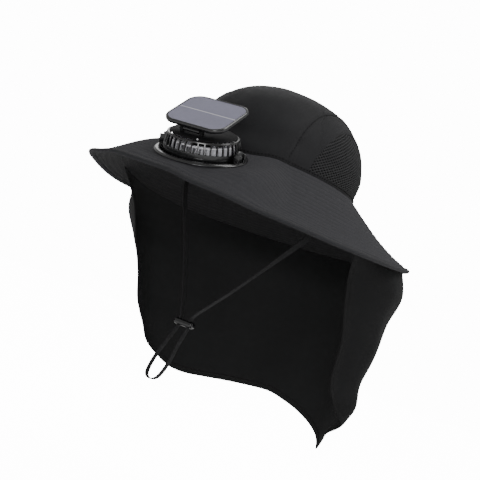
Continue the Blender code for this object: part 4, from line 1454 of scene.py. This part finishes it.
class HAT_OT_fan_grille(bpy.types.Operator):
    """Makes the ball shaped grille with its bowl, ribs and intake"""

    bl_idname = "hat.fan_grille"
    bl_label = "Fan grille"

    def execute(self, context):
        fan = context.scene.hat_fan
        wall = HOUSING_WALL
        bowl = []
        for n in range(9):
            height = HOUSING_BOTTOM + (BOWL_TOP - HOUSING_BOTTOM) * n / 8
            bowl.append((ball_radius(height), height))
        inner = [(r - wall, h) for r, h in reversed(bowl)]
        inner[-1] = (inner[-1][0], HOUSING_BOTTOM + wall)
        inner[-2] = (inner[-2][0], max(inner[-2][1], HOUSING_BOTTOM + wall * 1.4))
        floor_top = HOUSING_BOTTOM + wall
        outline = bowl + inner + [(INTAKE_RADIUS, floor_top), (INTAKE_RADIUS, HOUSING_BOTTOM)]
        bm = turned(outline, 160, SEAT)
        ring = [
            (ball_radius(0.0176) - wall, 0.0176),
            (ball_radius(0.0176), 0.0176),
            (ball_radius(0.0184) + 0.0002, 0.0184),
            (ball_radius(HOUSING_TOP), HOUSING_TOP),
            (ball_radius(HOUSING_TOP) - wall, HOUSING_TOP),
        ]
        disc = [(0.0, HOUSING_BOTTOM), (DISC_RADIUS, HOUSING_BOTTOM)]
        disc += [(DISC_RADIUS, floor_top), (0.0, floor_top)]
        for part in (ring, disc):
            join_into(bm, turned(part, 160, SEAT))

        def rib_back(across, up):
            height = RIB_FOOT + (RIB_HEAD - RIB_FOOT) * (up + 0.5)
            return Vector((ball_radius(height) - wall * 0.95, across * fan.rib_width, height))

        def rib_front(p):
            return Vector((ball_radius(p.z) + 0.0001, p.y * 0.62, p.z))

        for n in range(fan.ribs):
            turn = SEAT @ Matrix.Rotation(math.tau * (n + 0.5) / fan.ribs, 4, "Z")
            add_bent(bm, 1, 7, rib_back, rib_front, turn)
        for n in range(8):
            turn = SEAT @ Matrix.Rotation(math.tau * n / 8, 4, "Z")
            place = turn @ Matrix.Translation((0.0178, 0, HOUSING_BOTTOM + wall / 2))
            add_box(bm, (0.0160, 0.0016, wall), place, 0.0004, 2)
        for radius in (0.0150, 0.0200):
            hoop = [(radius - 0.0006, HOUSING_BOTTOM), (radius + 0.0006, HOUSING_BOTTOM)]
            hoop += [(radius + 0.0006, floor_top), (radius - 0.0006, floor_top)]
            join_into(bm, turned(hoop, 120, SEAT))
        for side in (-1, 1):
            turn = TILT @ Matrix.Translation((side * 0.0370, 0, 0)) @ LYING
            add_rod(bm, PIN_RADIUS, 0.0080, turn, 24, 0.0003)
        grille = new_piece("fan_grille", bm, finish_for("gloss_black"), "fan_head", 35)
        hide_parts("fan_housing")
        return {"FINISHED"}


# Hinge between the cap and the panel: widths of the knuckle and of each lug.
KNUCKLE_WIDTH = 0.0170
LUG_WIDTH = 0.0032


class HAT_OT_fan_cap(bpy.types.Operator):
    """Makes the cap with the motor below, the hinge lugs, and its lamp"""

    bl_idname = "hat.fan_cap"
    bl_label = "Fan cap"

    def execute(self, context):
        low = HOUSING_TOP + GAP - TRUNNION_HEIGHT
        top = low + CAP_HEIGHT
        motor_low = low - MOTOR_LENGTH
        outline = [
            (0, top),
            (CAP_RADIUS * 0.55, top),
            (CAP_RADIUS * 0.72, top - 0.0003),
            (CAP_RADIUS * 0.86, top - 0.0010),
            (CAP_RADIUS * 0.955, top - 0.0019),
            (CAP_RADIUS, top - 0.0027),
            (CAP_RADIUS, low),
            (MOTOR_RADIUS, low),
            (MOTOR_RADIUS, motor_low),
            (0.0014, motor_low),
            (0.0014, motor_low - 0.0085),
            (0, motor_low - 0.0085),
        ]
        bm = turned(outline, 160, TILT, closed=False)
        axis_z = HINGE_RISE - TRUNNION_HEIGHT
        for side in (-1, 1):
            middle = side * (KNUCKLE_WIDTH + 2 * GAP + LUG_WIDTH) / 2
            turn = TILT @ Matrix.Translation((middle, -HINGE_FORWARD, axis_z)) @ LYING
            add_rod(bm, 0.0021, LUG_WIDTH, turn, 28, 0.0004)
            place = TILT @ Matrix.Translation((middle, -HINGE_FORWARD + 0.0003, (axis_z + top - 0.0014) / 2))
            add_box(bm, (LUG_WIDTH, 0.0042, axis_z - top + 0.0014), place, 0.0005, 2)
        cap = new_piece("fan_lid", bm, finish_for("matt_black"), "fan_head", 30)
        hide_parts("fan_cap")

        turn = TILT @ Matrix.Rotation(math.radians(-68), 4, "Z")
        place = turn @ Matrix.Translation((CAP_RADIUS - 0.0001, 0, low + 0.0010)) @ LYING
        bm = bmesh.new()
        add_rod(bm, 0.0009, 0.0010, place, 24, 0.0003)
        new_piece("fan_lamp", bm, finish_for("lamp_lens"), "fan_head", 40)
        return {"FINISHED"}


class HAT_OT_rotor(bpy.types.Operator):
    """Makes the blower rotor with its curved upright blades"""

    bl_idname = "hat.rotor"
    bl_label = "Rotor"

    def execute(self, context):
        fan = context.scene.hat_fan
        outline = [
            (0.0017, 0.0),
            (ROTOR_RADIUS, 0.0),
            (ROTOR_RADIUS, 0.0012),
            (0.0060, 0.0012),
            (0.0045, 0.0024),
            (0.0045, 0.0070),
            (0.0017, 0.0070),
        ]
        bm = turned(soften(outline, 0.0004), 120, SPIN)
        high = 0.0122
        ring = [(ROTOR_RADIUS - 0.0045, high - 0.0012), (ROTOR_RADIUS, high - 0.0012)]
        ring += [(ROTOR_RADIUS, high + GAP), (ROTOR_RADIUS - 0.0045, high + GAP)]
        join_into(bm, turned(soften(ring, 0.0004), 120, SPIN))

        def blade(bend, up):
            radius = ROTOR_RADIUS - 0.0026 + bend * 0.0044
            sweep = 0.9 * bend / 8 - 0.05 * bend**2
            height = 0.0008 + (high - 0.0012) * (up + 0.5)
            return Vector((radius * math.cos(sweep), radius * math.sin(sweep), height))

        for n in range(fan.blades):
            turn = SPIN @ Matrix.Rotation(math.tau * n / fan.blades, 4, "Z")
            add_bent(bm, 5, 1, blade, lambda p: p + Vector((-0.0001, BLADE_WALL, 0)), turn)
        rotor = new_piece("rotor_wheel", bm, finish_for("pale_rotor"), "rotor", 35)
        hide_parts("fan_rotor")
        return {"FINISHED"}


# Width of the frame that shows round the solar cell.
RIM = 0.0024


def plate(width, length, corner, steps=10):
    """A rounded rectangle as a single face, flat and centred."""
    bm = bmesh.new()
    bm.loops.layers.uv.new("cloth")
    bmesh.ops.create_grid(bm, x_segments=1, y_segments=1, size=0.5)
    bmesh.ops.scale(bm, vec=(width, length, 1), verts=bm.verts)
    bmesh.ops.bevel(
        bm, geom=bm.verts[:], offset=corner, segments=steps, profile=0.5, affect="VERTICES", material=-1
    )
    return bm


class HAT_OT_solar_panel(bpy.types.Operator):
    """Makes the solar panel: its frame and its cell"""

    bl_idname = "hat.solar_panel"
    bl_label = "Solar panel"

    def execute(self, context):
        fan = context.scene.hat_fan
        high = PANEL_LIFT + SOLAR_THICKNESS
        place = HINGE @ Matrix.Translation((0, PANEL_MIDDLE, 0))
        bm = plate(SOLAR_WIDTH, SOLAR_LENGTH, SOLAR_CORNER)
        # Frame from its back to the cell's edge: how far it stands out, and its height.
        levels = (
            (-0.0022, PANEL_LIFT),
            (-0.0006, PANEL_LIFT + 0.0006),
            (0.0, PANEL_LIFT + 0.0018),
            (0.0, high - 0.0011),
            (-0.0005, high - 0.0003),
            (-0.0011, high),
            (-0.0019, high - 0.0002),
            (-0.0023, high - 0.0011),
        )
        bm.faces.ensure_lookup_table()
        face = bm.faces[0]
        bmesh.ops.translate(bm, verts=bm.verts, vec=(0, 0, levels[0][1]))
        base_shape = [(v.co.x, v.co.y) for v in face.verts]

        def shrink(verts, inset):
            for vert, (x, y) in zip(verts, base_shape):
                sx = (SOLAR_WIDTH / 2 + inset) / (SOLAR_WIDTH / 2)
                sy = (SOLAR_LENGTH / 2 + inset) / (SOLAR_LENGTH / 2)
                vert.co.x = x * sx
                vert.co.y = y * sy

        shrink(list(face.verts), levels[0][0])
        # The copy stays behind as the frame's back, and the face itself is drawn up level by level.
        current = face
        bmesh.ops.duplicate(bm, geom=[face])
        for inset, height in levels[1:]:
            lifted = bmesh.ops.extrude_discrete_faces(bm, faces=[current])
            current = lifted["faces"][0]
            verts = list(current.verts)
            shrink(verts, inset)
            for vert in verts:
                vert.co.z = height
        bmesh.ops.remove_doubles(bm, verts=bm.verts, dist=1e-7)
        bmesh.ops.recalc_face_normals(bm, faces=bm.faces)
        bmesh.ops.transform(bm, matrix=place, verts=bm.verts)
        turn = HINGE @ LYING
        add_rod(bm, 0.0020, KNUCKLE_WIDTH, turn, 28, 0.0004)
        add_rod(bm, 0.0011, 0.0234, turn, 20, 0.0002)
        neck = HINGE @ Matrix.Translation((0, 0, PANEL_LIFT / 2))
        add_box(bm, (0.0163, 0.0032, PANEL_LIFT + 0.0010), neck, 0.0004, 2)
        piece = new_piece("panel_frame", bm, finish_for("gloss_black"), "solar_panel", 40)
        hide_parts("solar_frame")

        bm = plate(SOLAR_WIDTH - 2 * RIM, SOLAR_LENGTH - 2 * RIM, SOLAR_CORNER - RIM)
        map_flat(bm, bm.loops.layers.uv["cloth"])
        bmesh.ops.translate(bm, verts=bm.verts, vec=(0, 0, high - 0.0009))
        lifted = bmesh.ops.extrude_face_region(bm, geom=bm.faces[:])
        tops = [g for g in lifted["geom"] if isinstance(g, bmesh.types.BMVert)]
        bmesh.ops.translate(bm, verts=tops, vec=(0, 0, 0.0006))
        bmesh.ops.recalc_face_normals(bm, faces=bm.faces)
        bmesh.ops.transform(bm, matrix=place, verts=bm.verts)
        silicon = cell_finish(tuple(fan.cell_and_sheen_color))
        cell = new_piece("panel_cell", bm, silicon, "solar_panel", 40)
        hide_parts("solar_cell")
        return {"FINISHED"}


class HAT_PT_panel(bpy.types.Panel):
    """Lists the hat's pieces in the sidebar"""

    bl_label = "Sun hat"
    bl_idname = "HAT_PT_panel"
    bl_space_type = "VIEW_3D"
    bl_region_type = "UI"
    bl_category = "Sun hat"

    def draw(self, context):
        for operator in OPERATORS:
            self.layout.operator(operator.bl_idname)
        for group in (context.scene.hat_cloth, context.scene.hat_net, context.scene.hat_fan):
            for name in group.bl_rna.properties.keys():
                if name not in ("rna_type", "name"):
                    self.layout.prop(group, name)


OPERATORS = (
    HAT_OT_stage,
    HAT_OT_brim,
    HAT_OT_neck_flap,
    HAT_OT_chin_strap,
    HAT_OT_crown,
    HAT_OT_net,
    HAT_OT_stitching,
    HAT_OT_fan_base,
    HAT_OT_fan_grille,
    HAT_OT_fan_cap,
    HAT_OT_rotor,
    HAT_OT_solar_panel,
)
CLASSES = (HatCloth, HatNet, HatFan, *OPERATORS, HAT_PT_panel)


def register():
    for cls in CLASSES:
        bpy.utils.register_class(cls)
    bpy.types.Scene.hat_cloth = bpy.props.PointerProperty(type=HatCloth)
    bpy.types.Scene.hat_net = bpy.props.PointerProperty(type=HatNet)
    bpy.types.Scene.hat_fan = bpy.props.PointerProperty(type=HatFan)


def unregister():
    del bpy.types.Scene.hat_fan
    del bpy.types.Scene.hat_net
    del bpy.types.Scene.hat_cloth
    for cls in reversed(CLASSES):
        bpy.utils.unregister_class(cls)


def main():
    register()
    bpy.ops.hat.stage()
    bpy.ops.hat.brim()
    bpy.ops.hat.neck_flap()
    bpy.ops.hat.chin_strap()
    bpy.ops.hat.crown()
    bpy.ops.hat.net()
    bpy.ops.hat.stitching()
    bpy.ops.hat.fan_base()
    bpy.ops.hat.fan_grille()
    bpy.ops.hat.fan_cap()
    bpy.ops.hat.rotor()
    bpy.ops.hat.solar_panel()


if __name__ == "__main__":
    main()
